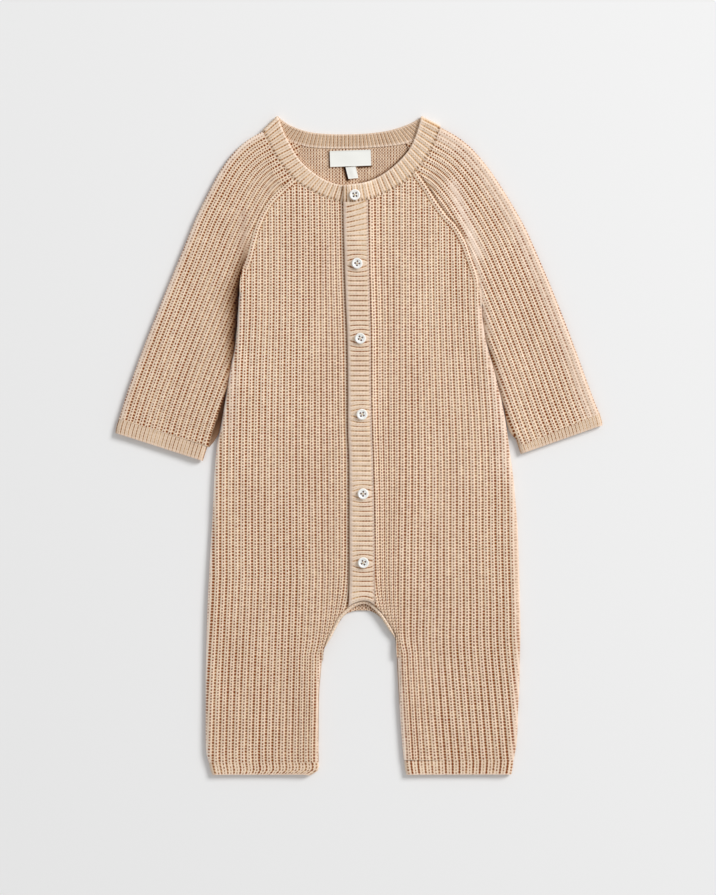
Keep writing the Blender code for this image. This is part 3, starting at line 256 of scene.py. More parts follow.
# On the back's inside: the painted shadows of the size tab and of the label's edges, and painted light on
# the arch's strip.
INSIDE_WASHES = rows_of(
    Wash, (-12.0, 228.4, -9.4, 218.8, 1.7, -1.1, 0.0), (-0.5, 228.7, 10.2, 229.7, 1.0, -0.9, 0.0),
    (-24.8, 242.0, -24.2, 229.2, 0.9, -0.7, 0.0), (-9, -133.5, 9, -133.5, 3.0, 0.12, 0.3))
CUFF = {
    "right": rows_of(
        Cross, (197.3, 21.9, 124.4, -1.2), (199.1, 16.0, 126.1, -6.6), (199.9, 10.8, 127.9, -12.3)),
    "left": rows_of(
        Cross, (197.8, 25.9, 128.9, 4.6), (199.1, 21.6, 130.7, -1.0), (199.9, 17.2, 132.5, -6.6)),
}
HEM = {
    "right": rows_of(
        Cross, (123.1, -259.8, 33.0, -259.8), (121.9, -265.4, 32.8, -265.2),
        (120.5, -269.4, 39.6, -269.4)),
    "left": rows_of(
        Cross, (126.9, -258.0, 36.9, -258.6), (126.3, -263.6, 37.6, -264.4),
        (125.3, -269.2, 38.5, -269.4)),
}
CUFF_RIBS = 23
CUFF_STEPS = 6             # columns to a rib
END_ROWS = 17
END_FOLDS = (0.001, 0.003, 0.997, 0.999)   # more columns at the two folds
END_JOIN = Fade(1.0, 0.0, 0.2)             # a cuff's relief sets in over this share of its depth
END_LOWER, END_LIGHTER = Fade(0.5, 0.8, 0.2), Fade(0.08, 0.8, 0.2)   # at its open edge
END_BEAD, END_FAINT = Bell(0.25 * MM, 0.93, 0.08), Fade(0.7, 0.86, 0.1)
END_SUNK = 0.4             # as SUNK

Band = namedtuple("Band", "rim_x rim_y seam_x seam_y")
NECK_FRONT = rows_of(
    Band, (-65.8, 268.4, -78.2, 256.8), (-61.5, 257.0, -74.0, 248.2), (-55.3, 244.9, -68.6, 238.2),
    (-48.8, 234.6, -60.4, 227.0), (-39.4, 225.6, -50.6, 216.4), (-30.0, 219.2, -38.0, 208.8),
    (-20.6, 215.2, -26.0, 203.4), (-12.1, 213.8, -14.9, 200.4), (-3.6, 214.6, -4.1, 199.9),
    (3.9, 215.8, 5.7, 201.4), (11.5, 218.4, 16.0, 205.0), (20.9, 223.6, 28.0, 210.7),
    (31.2, 231.8, 40.0, 218.6), (40.4, 241.9, 50.6, 230.0), (45.0, 250.4, 57.2, 239.2),
    (48.3, 259.4, 62.4, 249.5), (50.6, 268.0, 66.2, 260.2))
NECK_BACK = rows_of(
    Band, (49.8, 268.6, 65.6, 260.2), (40.7, 264.0, 54.0, 253.9), (31.2, 260.6, 40.0, 248.8),
    (21.8, 258.2, 26.6, 246.4), (7.7, 256.4, 10.0, 245.0), (-3.6, 255.8, -3.6, 244.4),
    (-16.8, 255.6, -17.0, 244.2), (-30.0, 256.2, -32.0, 244.6), (-39.4, 257.3, -43.0, 245.8),
    (-48.8, 259.8, -55.0, 249.4), (-57.6, 263.6, -68.0, 253.6), (-64.8, 268.6, -77.6, 256.6))
NECK_OVERLAP = (-12.9, 4.0)   # x at which the end on top stops, and the one beneath
NECK_RIB = 4.6 * MM
NECK_STEPS = 8             # stations to a rib
NECK_POINTS = 800          # along a table's soft curve
NECK_COLUMNS, TURN_STATIONS = 15, 9   # from rim to seam, and in a shoulder's half turn
NECK_INSIDE_RIBS = 1.5     # on the band's inside, to one outside
NECK_STITCH = 3.1 * MM     # spacing of the linking stitches' dark holes
NECK_CURVE = 0.25 * MM     # how much the band stands up in its middle
FINE_STRANDS = 0.8         # height of the stitches on a band, as a share of the body's
# Across the band, from its rim at 0 to its seam at 1: how its ribs ease, its bead and its groove.
NECK_RIM_EASE, NECK_SEAM_EASE = Fade(1.0, 0.0, 0.16), Fade(0.3, 0.86, 0.14)
RIM_BEAD, NECK_GROOVE = Bell(0.55 * MM, 0.06, 0.07), Bell(0.15 * MM, 0.97, 0.05)
# Where its linking holes, its inside's chain and its pale rim lie, and what they add.
NECK_HOLES, NECK_CHAIN = Bell(1.0, 0.945, 0.065), Bell(1.0, 0.95, 0.09)
NECK_RIM = Bell(1.0, 0.05, 0.08)
INSIDE_TONE, CHAIN_LIGHTER, RIM_LIGHTER = 0.82, 0.3, 0.14
RIM_FAINT, CHAIN_FAINT = 0.6, 0.7
NECK_END_SHADE, NECK_THIN = Bell(0.3, 0.0, 0.8 * MM), 3 * MM   # at the end on top

Strip = namedtuple("Strip", "y free linked")
BUTTON_BAND = rows_of(
    Strip, (199.0, -12.9, 7.2), (169, -12.3, 7.6), (120, -10.8, 8.7), (92, -9.6, 9.4), (46, -9.0, 9.6),
    (13, -9.0, 10.3), (-12, -8.0, 11.2), (-69, -7.8, 12.4), (-110, -7.8, 12.6), (-126.4, -8.6, 12.6))
BAND_RIB = 4.1 * MM
BAND_STEP, BAND_COLUMNS = 0.6 * MM, 25   # the button band's lattice
# Its ribs are drawn towards each button: how near in height and to the side, how many
# millimetres, and how steeply; they lean by so much above a height.
PULL_NEAR, PULL_SIDE = Bell(1.0, 0.0, 9 * MM), 8 * MM
PULL, PULL_STEEP = 2.2, 2.5 * MM
BAND_LEAN, LEAN_FROM = 0.22, Fade(1.0, 168 * MM, 14 * MM)
# Across it, from its free edge at 0 to its linked edge at 1.
BAND_FREE_EASE, BAND_LINKED_EASE, BAND_THIN = Fade(1.0, 0.0, 0.10), Fade(0.7, 0.9, 0.1), 0.15
# The free edge is painted dark as its shadow, a strip of painted light then offsets the bevel's shade, and
# BAND_DARKER brings the tone back to the band's own.
BAND_TONE, BAND_LIGHTER, BAND_DARKER = 0.75, Fade(0.42, 0.0, 0.04), Fade(0.17, 0.1, 0.08)
BAND_HOLES, BAND_HOLE_SHADE = Bell(1.0, 0.955, 0.03), 0.6
BAND_FAINT = 0.9           # of both edges
BAND_FREE_FAINT, BAND_LINKED_FAINT = Fade(BAND_FAINT, 0.08, 0.1), Fade(1.0, 0.05, 0.08)
EDGE_THIN = 0.8 * MM       # how much thinner the top layer is at its free edge
BAND_EASE = 12 * MM        # over which the band's ends follow the neckband and the arch
BAND_LIFT = 2.75 * MM
LIFT_OUTSIDE = 10.0 * MM
LIFT_INSIDE = 4.0 * MM
UNDER_BAND_START, UNDER_BAND_STOP = 1.6 * MM, 4.6 * MM   # in from the button band's edges
UNDER_ROWS, UNDER_COLUMNS = 160, 13
UNDER_RAISE, UNDER_TONE = 0.2 * MM, 0.9

FRONT_ARCH = rows_of(
    Spot, (-31.0, -171.5), (-28.4, -166.0), (-24.2, -157.0), (-19.1, -147.0), (-15.6, -140.6),
    (-10.0, -135.0), (-4.4, -130.6), (2.9, -128.2), (8.4, -129.2), (12.6, -132.6), (17.5, -137.8),
    (21.9, -144.2), (25.8, -150.4), (29.2, -156.2), (30.8, -162.6), (33.0, -170.0))
BACK_ARCH = rows_of(
    Spot, (-31.0, -171.5), (-28.4, -166.0), (-23.6, -157.4), (-18.2, -147.8), (-12.0, -139.0),
    (-4.4, -135.4), (2.9, -134.8), (10.0, -135.6), (16.2, -139.4), (21.3, -145.0), (25.4, -151.0),
    (29.2, -157.0), (30.8, -162.6), (33.0, -170.0))
ARCH_BEND = 5.0 * MM       # how far the ribs are drawn outwards at the arch
ARCH_BEND_REACH = 12 * MM  # above the arch, over which that dies away
ARCH_BEND_IN, ARCH_BEND_OUT = Fade(1.0, 0.0, 16 * MM), Fade(1.0, 28 * MM, 28 * MM)   # by |x|
TRIM_RADIUS = 1.25 * MM
TRIM_ENDS = (-164.0, -157.0)   # its lowest heights, at the wearer's right and left
TRIM_POINTS, TRIM_SIDES = 260, 16
TRIM_LEAST, TRIM_TAPER = 0.35, Fade(0.65, 0.0, 9 * MM)   # of its radius, from an end on
TRIM_WAVE, TRIM_TONE = 0.06, 0.97

BUTTONS = rows_of(
    Spot, (-3.4, 205.6), (-1.5, 149.5), (1.1, 88.1), (2.5, 25.9), (3.4, -39.1), (3.6, -95.5))
BUTTON_SEAT = 8.5 * MM     # height of a button's underside
BUTTON_TURN, BUTTON_TURNS = 22, 31   # degrees that the holes are turned, and what each button adds
BUTTON_SIDES, BUTTON_RINGS, RIM_RINGS, BUTTON_ANGLE = 96, 34, 7, 50
BUTTON_FACE, BUTTON_RIM = 0.80, 0.20   # shares of the radius that the face and its rim take
DISH = Fade(0.45 * MM, 0.56, 0.22)     # the face's hollow, by the share of the radius where it ends
RIM_DROP, HOLE_DEPTH, HOLE_RIM = 0.75 * MM, 1.25 * MM, 0.22 * MM
# The profile beneath, as shares of the radius and the height.
BUTTON_UNDER = ((0.97, 0.496), (0.90, 0.18), (0.82, 0.0), (0.4, 0.0), (0.0, 0.0))
THREAD_RADIUS, THREAD_SIDES, THREAD_POINTS = 0.11 * MM, 8, 9
THREAD_REACH, THREAD_APART = 0.72, 0.11   # share of the way to a hole; millimetres off its line
THREAD_SUNK, THREAD_RISE = 0.95 * MM, (0.78, 0.90)   # below the top, and the millimetres it rises
SWIRL_NOISE, SWIRL_RAMP = (240.0, 3.0), (0.35, 0.75)
HOLE_RAMP, TWIST_NOISE = (0.1, 0.45), (2600.0, 2.0)
PEARL_COAT, PEARL_ROUGHNESS, HOLE_ROUGHER = 0.35, 0.22, 0.7

Tab = namedtuple("Tab", "width depth x y turn lean")
LABEL, SIZE_TAB = Tab(33.6, 13.0, -7.0, 236.0, 2.0, 2.0), Tab(8.2, 9.8, -5.7, 224.2, 5.0, 14.0)
LABEL_POINTS, LABEL_ANGLE = (57, 29), 60
LABEL_HALF = 0.3 * MM      # half its thickness
LABEL_WAVE, LABEL_WAVES, LABEL_BOW = 0.18 * MM, 7.0, 3.0   # radians along it and across it
LABEL_EDGE, LABEL_EDGE_FROM = 0.25 * MM, 0.46
WARP, WEFT = 0.32 * MM, 0.42 * MM

# ---------------------------------------------------------------- stage
FLOOR_SIZE = 3.0
MAIN_LIGHT, MAIN_LIGHT_SIZE = (4.3, 2.9, 3.8), 2.6
SENSOR = 24.0
FRAME_HEIGHT = 0.7339      # how much the camera sees, upwards in the picture
CAMERA_PLACE = (-0.8 * MM, -1.2 * MM)
CAMERA_FAR = 20.0

SIGN = {"right": -1.0, "left": 1.0}


def linear(*levels):
    """A screen colour of 0 to 255 as the linear one that a shader takes."""
    return tuple(((v / 255 + 0.055) / 1.055) ** 2.4 if v > 10 else v / 3294 for v in levels)


# PEARL_SHADE is the pearl's own swirl; HOLE_COLOUR paints each hole dark brown, what shows through it, in
# painted shade
PEARL_SHADE, HOLE_COLOUR = linear(242, 241, 238), linear(104, 48, 24)
THREAD_COLOURS = (linear(240, 220, 184), linear(212, 178, 130))


# ================================================================ settings
def number_setting(name, description, default, **kind):
    return bpy.props.FloatProperty(name=name, description=description, default=default, **kind)


def length_setting(name, description, millimetres):
    return number_setting(name, description, millimetres * MM, unit="LENGTH")


def colour_setting(name, description, *levels):
    return bpy.props.FloatVectorProperty(name=name, description=description, default=linear(*levels),
                                         size=3, subtype="COLOR")


class RomperKnit(bpy.types.PropertyGroup):
    rib_raise: length_setting("Rib height", "A body rib's crest above its grooves", 0.65)
    fine_raise: length_setting("Fine rib height", "The same in the bands, cuffs and hems", 0.6)
    strand_raise: length_setting("Stitch height", "A stitch's arm above the gap beside it", 0.32)
    yarn_light: colour_setting("Yarn", "Colour of the yarn where light falls on it", 250, 231, 216)
    # painted shade: the deep yarn is the yarn's colour where it lies in shade between the stitches
    yarn_in_shade: colour_setting("Deep yarn", "Colour of the yarn down between the stitches", 132, 64, 22)
    roughness: number_setting("Roughness", "How matt the yarn is", 0.9, subtype="FACTOR")
    sheen: number_setting("Nap", "Strength of the soft halo of loose fibres", 0.06, subtype="FACTOR")


class RomperTrimmings(bpy.types.PropertyGroup):
    button_radius: length_setting("Button radius", "Radius of a button", 4.5)
    button_height: length_setting("Button thickness", "Thickness of a button", 2.0)
    hole_radius: length_setting("Hole radius", "Radius of a button's four holes", 0.7)
    hole_spacing: length_setting("Hole spacing", "Distance between neighbouring holes", 2.35)
    pearl: colour_setting("Pearl", "Colour of the buttons", 252, 251, 248)
    label: colour_setting("Label", "Colour of the woven labels", 247, 247, 242)


class RomperStage(bpy.types.PropertyGroup):
    floor: colour_setting("Floor", "Colour of the floor", 240, 240, 240)
    key_power: number_setting("Main light", "Power of the large light", 317.0, unit="POWER")
    fill: number_setting("Room light", "Strength of the even light all round", 0.52)
    camera_height: number_setting("Camera height", "Height of the camera over the floor", 2.5, unit="LENGTH")


# ================================================================ shader maths
class Value:
    """A number that varies over a surface: a node's socket with Python's operators."""

    def __init__(self, net, socket):
        self.net, self.socket = net, socket

    def math(self, operation, *others):
        return self.net.math(operation, self, *others)

    def __add__(self, other):
        return self.math("ADD", other)

    def __mul__(self, other):
        return self.math("MULTIPLY", other)

    __radd__, __rmul__ = __add__, __mul__

    def __sub__(self, other):
        return self.math("SUBTRACT", other)

    def __rsub__(self, other):
        return self.net.math("SUBTRACT", other, self)

    def __pow__(self, other):
        return self.math("POWER", other)


class Net:
    """A material's nodes: one method makes any node, the others are its common uses."""

    def __init__(self, name, **constants):
        self.material = bpy.data.materials.new(name)
        self.material.use_nodes = True
        self.tree = self.material.node_tree
        self.shader = self.tree.nodes["Principled BSDF"]
        for key, value in constants.items():
            self.shader.inputs[key.replace("_", " ")].default_value = value

    def node(self, kind, settings=(), inputs=(), output=0):
        """Make a node: its settings first, then the values or links of its sockets.

        The answer is one of its outputs, or the list of them all.
        """
        made = self.tree.nodes.new(kind)
        for key, value in dict(settings).items():
            setattr(made, key, value)
        for key, value in dict(inputs).items():
            self.feed(made.inputs[key], value)
        values = [Value(self, socket) for socket in made.outputs]
        return values if output is None else values[output]

    def feed(self, socket, value):
        """Link a value to a socket, or set the socket to a constant."""
        if isinstance(value, Value):
            self.tree.links.new(value.socket, socket)
        else:
            socket.default_value = value

    def math(self, operation, *values):
        return self.node("ShaderNodeMath", {"operation": operation}, enumerate(values))

    def ramp(self, value, low, high):
        """0 below low, 1 above high, and soft between."""
        return self.node("ShaderNodeMapRange", {"interpolation_type": "SMOOTHSTEP"},
                         {"Value": value, "From Min": low, "From Max": high})

    def wave(self, turns):
        """From 0 to 1 and back with each whole turn; 1 at whole numbers."""
        return 0.5 + 0.5 * self.math("COSINE", turns * TAU)

    def mix(self, first, second, share):
        return self.node("ShaderNodeMix", {"data_type": "RGBA"}, {0: share, 6: first, 7: second}, 2)

    def plane(self, name):
        """The two numbers of a UV map."""
        place = self.node("ShaderNodeUVMap", {"uv_map": name})
        return self.node("ShaderNodeSeparateXYZ", {}, {0: place}, None)[:2]

    def attribute(self, name):
        return self.node("ShaderNodeAttribute", {"attribute_name": name}, output=2)

    def place(self, axis):
        """One of the Object coordinates."""
        place = self.node("ShaderNodeTexCoord", output=3)
        return self.node("ShaderNodeSeparateXYZ", {}, {0: place}, axis)

    def noise(self, scale, detail=2.0, squeeze=None):
        """Noise on Object coordinates, in bumps to a metre."""
        place = self.node("ShaderNodeTexCoord", output=3)
        if squeeze:
            place = self.node("ShaderNodeMapping", {}, {"Vector": place, "Scale": squeeze})
        return self.node("ShaderNodeTexNoise", {}, {"Vector": place, "Scale": scale, "Detail": detail})

    def finish(self, colour, bump=None, distance=0.2 * MM, strength=1.0, roughness=None):
        """Feed the shader what varies, with the bump behind its normal."""
        self.feed(self.shader.inputs["Base Color"], colour)
        if roughness is not None:
            self.feed(self.shader.inputs["Roughness"], roughness)
        if bump is not None:
            normal = self.node("ShaderNodeBump", {}, {"Height": bump, "Distance": distance,
                                                      "Strength": strength})
            self.feed(self.shader.inputs["Normal"], normal)
        return self.material


def rgba(colour, level=1.0):
    return tuple(c * level for c in colour[:3]) + (1.0,)


def stitches(net, across_ribs, along_ribs, slope):
    """Arms, and the painted shade of the gaps beside them, of V stitches with their points down.

    u is 0 at a rib's middle and 1 in its groove; an arm lies where rows - slope * u
    is whole; a gap is half a row from it.
    """
    u = net.math("ABSOLUTE", net.math("FRACT", across_ribs) * 2 - 1)
    arm = net.wave(along_ribs - u * slope)
    gaps = [net.ramp(u, *across) * net.ramp(net.wave(along_ribs - middle), *along)
            for (across, along), middle in ((GROOVE_GAP, slope - 0.5), (MIDDLE_GAP, 0.5))]
    groove, vein = net.ramp(u, *GROOVE), net.ramp(u, *VEIN)
    ply = net.wave((along_ribs - u * slope) * PLIES)
    return (arm, *gaps, groove, vein, ply)


def knit(name, dots=1.0, lines=0.15, veins=0.0, light=1.0, feet=0.0, slope=ARM_SLOPE):
    """Ribbed knit on the UV map "knit": ribs across it, rows along it.

    dots is how dark the painted shade in the gaps between stitches is, lines and veins how dark
    the painted shade of the grooves and the ribs' middles is all along; feet is added to lines towards the
    feet.

    The map "edge" carries a second knit, that of the two ribs along a seam; "tone"
    darkens or lightens, much of it painted light and shade, and "ridge" is the share of the second knit.
    """
    look = bpy.context.scene.romper_knit
    net = Net(name, Roughness=look.roughness, Sheen_Weight=look.sheen, Sheen_Roughness=0.45,
              Sheen_Tint=rgba((1.0, 0.95, 0.90)), Specular_IOR_Level=0.1)
    wander = net.noise(*WANDER_NOISE) * WANDER
    (across, along), (edge_across, edge_along) = net.plane("knit"), net.plane("edge")
    body = stitches(net, across, along + wander, slope)
    edge = stitches(net, edge_across, edge_along + wander, slope)
    ridge = net.attribute("ridge")
    arm, groove_gap, middle_gap, groove, vein, ply = (a + (b - a) * ridge for a, b in zip(body, edge))
    stretch = net.ramp(net.noise(*STRETCH_NOISE), *STRETCH_RAMP) * STRETCH_MORE + STRETCH_LEAST
    uneven = net.ramp(net.noise(*UNEVEN_NOISE), *UNEVEN_RAMP) * UNEVEN_MORE + UNEVEN_LEAST
    if feet:
        lines = lines + feet * net.ramp(net.place(1), *FEET_LINES)
    # painted shade of the stitches: their gaps, grooves and ribs' middles
    shade = ((GROOVE_DEEP * groove_gap * dots * uneven + lines * groove) * stretch + veins * vein
             + (MIDDLE_DEEP * middle_gap * uneven + ARM_DEEP * (1 - arm)) * dots)
    faint = net.attribute("faint")
    shade = shade + (FAINT_SHADE - shade) * faint
    fuzz = net.noise(*FUZZ_NOISE)
    shade = shade + (FUZZ * (fuzz - 0.5) - TWIST * (ply - 0.5)) * (1 - FAINT_FUZZ * faint)
    depth = net.ramp(shade, *SHADE_RAMP)
    level = net.attribute("tone") * (net.noise(*SLOW_NOISE) * SLOW + net.noise(*QUICK_NOISE) * QUICK
                                     + TONE_LEAST) * light
    channels = {}
    for channel, pale, deep, (steep, fade, taken) in zip(("Red", "Green", "Blue"), look.yarn_light,
                                                         look.yarn_in_shade, YARN_CHANNELS):
        share = depth ** (steep + (1 - steep) * PALE_SHARE * faint)
        channels[channel] = ((pale + (deep - pale) * share) * level ** fade
                             * (1 - groove * (1 - faint) * taken))
    colour = net.node("ShaderNodeCombineColor", {}, channels)
    height = (BUMP_ARM * arm + BUMP_PLY * ply + BUMP_FUZZ * fuzz - BUMP_GROOVE * groove_gap
              - BUMP_MIDDLE * middle_gap)
    return net.finish(colour, height * (1 - FAINT_BUMP * faint), BUMP_DEPTH, BUMP_STRENGTH)


# ================================================================ plan curves
def smooth(value):
    """From 0 at 0 to 1 at 1 along 3 v^2 - 2 v^3, and level beyond both."""
    value = np.clip(value, 0.0, 1.0)
    return value * value * (3.0 - 2.0 * value)


def rising(value, fade):
    """A Fade: amount * a soft step from 0 at its start to 1 a way further on."""
    return fade.amount * smooth((value - fade.start) / fade.way)


def falling(value, fade):
    """A Fade turned round: its amount up to its start, 0 a way further on."""
    return fade.amount * (1.0 - smooth((value - fade.start) / fade.way))


def bell(value, shape):
    """A Bell: amount * exp(-((value - middle) / width)^2)."""
    return shape.amount * np.exp(-((value - shape.middle) / shape.width) ** 2)


def steps_of(line):
    """Length from each point of a line to the next."""
    return np.linalg.norm(np.diff(line, axis=0), axis=1)


def lengths(line):
    """Length along a line up to each of its points."""
    return np.concatenate([[0.0], np.cumsum(steps_of(line))])


def resampled(curve, count):
    """Evenly spaced points along a run of points."""
    along = lengths(curve)
    wanted = np.linspace(0.0, along[-1], count)
    return np.stack([np.interp(wanted, along, column) for column in curve.T], axis=1)


def softened(rows, count=400):
    """The soft curve through a table's rows: cubic from row to row (Catmull-Rom), in metres."""
    p = np.asarray(rows, float) * MM
    p = np.vstack([2 * p[0] - p[1], p, 2 * p[-1] - p[-2]])
    a, b, c, d = p[:-3], p[1:-2], p[2:-1], p[3:]
    s = np.linspace(0.0, 1.0, 9)[:-1, None, None]
    curve = 0.5 * (2 * b + (c - a) * s + (2 * a - 5 * b + 4 * c - d) * s ** 2
                   + (3 * b - a - 3 * c + d) * s ** 3)
    return resampled(np.vstack([curve.transpose(1, 0, 2).reshape(-1, p.shape[1]), p[-2]]), count)


def directions(line):
    """Unit steps along a line."""
    way = np.gradient(line, axis=0)
    return way / np.linalg.norm(way, axis=1, keepdims=True)


def moved(line, distance):
    """The line shifted sideways, to the left of its direction."""
    way = directions(line)
    return line + distance * np.stack([-way[:, 1], way[:, 0]], axis=1)


def along_line(points, line):
    """How far each point lies from the line, and at what length along it."""
    a, way, start = line[:-1], np.diff(line, axis=0), lengths(line)[:-1]
    length = steps_of(line)
    share = np.clip(((points[:, None] - a) * way).sum(axis=2) / length ** 2, 0.0, 1.0)
    gap = np.linalg.norm(points[:, None] - a - share[..., None] * way, axis=2)
    best = gap.argmin(axis=1)
    pick = np.arange(len(points))
    return gap[pick, best], start[best] + share[pick, best] * length[best]


def from_row(points, row):
    """How far points lie from a table row's straight line, and at what share of its length."""
    a = np.array([row.x1, row.y1]) * MM
    way = np.array([row.x2, row.y2]) * MM - a
    share = np.clip((points - a) @ way / (way @ way), 0.0, 1.0)
    return np.linalg.norm(points - a - share[..., None] * way, axis=-1), share


def graph(line, value, of=0):
    """The line's other coordinate where one of its coordinates has a value."""
    order = np.argsort(line[:, of])
    return np.interp(value, line[order, of], line[order, 1 - of])


# ================================================================ heights
def turned(distance):
    """How far a layer has come up from the fold: a quarter circle, 0 at the edge."""
    inside = 1.0 - np.clip(distance / FOLD_RADIUS, 0.0, 1.0)
    return np.sqrt(1.0 - inside ** 2)


def upper_height(distance, gap=0.0):
    """Middle of the upper layer: a quarter circle up from the fold, and a soft puff beyond it."""
    puff = PUFF * np.exp(-(np.maximum(distance - FOLD_RADIUS, 0.0) / PUFF_WIDTH) ** 2)
    low = FOLD_HEIGHT + gap
    return low + (FRONT_MID + puff - low) * turned(distance)


def lower_height(distance, gap=0.0):
    """Middle of the lower layer: a quarter circle down from the fold."""
    high = FOLD_HEIGHT - gap
    return high + (BACK_MID - high) * turned(distance)


def band_edges(y):
    """The button band's free edge and its linked edge at given heights."""
    rows = softened(BUTTON_BAND)[::-1]
    return [np.interp(y, rows[:, 0], rows[:, k]) for k in (1, 2)]


def band_lift(x, y):
    """How far the cloth stands up to pass over the band beneath it."""
    return BAND_LIFT * smooth((band_edges(y)[1] + LIFT_OUTSIDE - x) / (LIFT_OUTSIDE + LIFT_INSIDE))


# Soft creases: from one place to another, half width, depth (a ridge where it is below 0).
Crease = namedtuple("Crease", "x1 y1 x2 y2 width depth")
CREASES = rows_of(
    Crease, (-100, 112, -84, 40, 7.0, 0.7), (-92, 60, -101, -30, 9.0, -0.5), (100, 104, 88, 30, 8.0, 0.6),
    (92, 20, 104, -70, 10.0, -0.5), (-60, -140, -78, -250, 12.0, 0.4), (58, -150, 84, -250, 12.0, 0.4),
    (-34, -168, -60, -120, 8.0, 0.5), (36, -168, 64, -118, 8.0, 0.5), (-128, 120, -150, 40, 9.0, 0.5),
    (126, 118, 150, 40, 9.0, 0.5), (-60, 150, -70, 60, 14.0, 0.3), (50, 170, 64, 40, 14.0, 0.3))
CREASE_ENDS = (0.03, 0.97)


def creases(x, y):
    """Minus the sum, over the creases, of depth * exp(-(gap / width)^2) * sin(pi * share along)."""
    points = np.stack([x, y], axis=-1)
    total = np.zeros(x.shape)
    for crease in CREASES:
        gap, share = from_row(points, crease)
        across = bell(gap, Bell(crease.depth * MM, 0.0, crease.width * MM))
        total -= across * np.sin(np.pi * np.clip(share, *CREASE_ENDS))
    return total


def daylight(y):
    """Painted shade: the cloth is made a little darker from the chest to the feet."""
    return 1.0 - rising(DAYLIGHT_TOP - y, DAYLIGHT)


def washes(x, y, table):
    """Painted light and shade (tone) and faintness added by the washes, each a bell across its line."""
    points = np.stack([x, y], axis=-1)
    tone, faint = np.zeros(x.shape), np.zeros(x.shape)
    for wash in table:
        here = bell(from_row(points, wash)[0], Bell(1.0, 0.0, wash.width * MM))
        tone += wash.tone * here
        faint = np.maximum(faint, wash.faint * here)
    return tone, faint


def rim_shadow(x, y):
    """Shade on the back's inside beside the front neckband's rim, at the wearer's left."""
    rim = softened([(row.rim_x, row.rim_y) for row in NECK_FRONT])
    shade = np.zeros(x.shape)
    close = (x > 0) & (y > BACK_FINE)
    gap, _ = along_line(np.stack([x[close], y[close]], axis=1), rim)
    shade[close] = bell(gap, RIM_SHADOW)
    return shade


def thinned(x, y, arch):
    """1 at the arch between the legs, falling to 0 over a short way above it."""
    return (1 - smooth((y - graph(arch, x)) / ARCH_THIN_WAY)) * (np.abs(x) < np.abs(arch[:, 0]).max())


def free_edge_shadow(x, y):
    """Shade on the right front beside the button band's free edge."""
    return bell(x - band_edges(y)[0], FREE_EDGE_SHADOW)


# ================================================================ relief
def stitch_relief(ribs, rows, rib_raise, strand_raise):
    """Ribs with stitch arms on them; u is 1 in a groove, 0 on a crest.

    A rib is 0.5 + 0.5 * cos(pi * u^power); an arm is a cosine of rows - slope * u, and
    the crest dips a little where the two arms of a stitch meet.
    """
    u = np.abs(2.0 * (ribs - np.floor(ribs)) - 1.0)
    rib = 0.5 + 0.5 * np.cos(np.pi * u ** CREST_POWER)
    arm = np.cos(TAU * (rows - ARM_SLOPE * u))
    on_rib = STRAND_LEAST + STRAND_MORE * rib
    return rib_raise * rib + strand_raise * (0.5 * arm - bell(u, CREST_DIP)) * on_rib


# ================================================================ cloth
FREE, ON_END, LEVEL = range(3)
FIELDS = ("relief", "relief_in", "stance", "ribs", "rows", "edge_ribs", "edge_rows", "ridge", "tone",
          "tone_in", "faint")


def quads_of(index, closed=False):
    """Faces between the neighbours of a lattice of point numbers."""
    after = np.roll(index, -1, axis=0) if closed else index[1:]
    before = index if closed else index[:-1]
    return np.stack([before[:, :-1], after[:, :-1], after[:, 1:], before[:, 1:]], axis=-1).reshape(-1, 4)


def sorted_faces(quads):
    """Split four-sided faces into real ones and those that have shrunk to triangles."""
    a, b, c, d = quads.T
    flat = ((a == b) & (c == d)) | ((b == c) & (d == a)) | (a == c) | (b == d)
    quads = quads[~flat]
    a, b, c, d = quads.T
    same = np.stack([a == b, b == c, c == d, d == a])
    whole = ~same.any(axis=0)
    triangles = [quads[same[0]][:, [1, 2, 3]], quads[same[1]][:, [0, 1, 3]],
                 quads[same[2]][:, [0, 1, 2]], quads[same[3]][:, [0, 1, 2]]]
    return quads[whole], np.vstack(triangles)


def cut(plan, room):
    """First and last row of each column inside the room, both moved onto its edge, where it is 0."""
    inside = room > 0
    columns, rows = room.shape
    pick = np.arange(columns)
    first = np.maximum(inside.argmax(axis=1) - 1, 0)
    last = np.minimum(rows - inside[:, ::-1].argmax(axis=1), rows - 1)
    for end, step in ((first, 1), (last, -1)):
        here, there = room[pick, end], room[pick, end + step]
        share = np.where(here < 0, here / np.minimum(here - there, -1e-12), 0.0)
        plan[pick, end] += (plan[pick, end + step] - plan[pick, end]) * share[:, None]
    return first, last


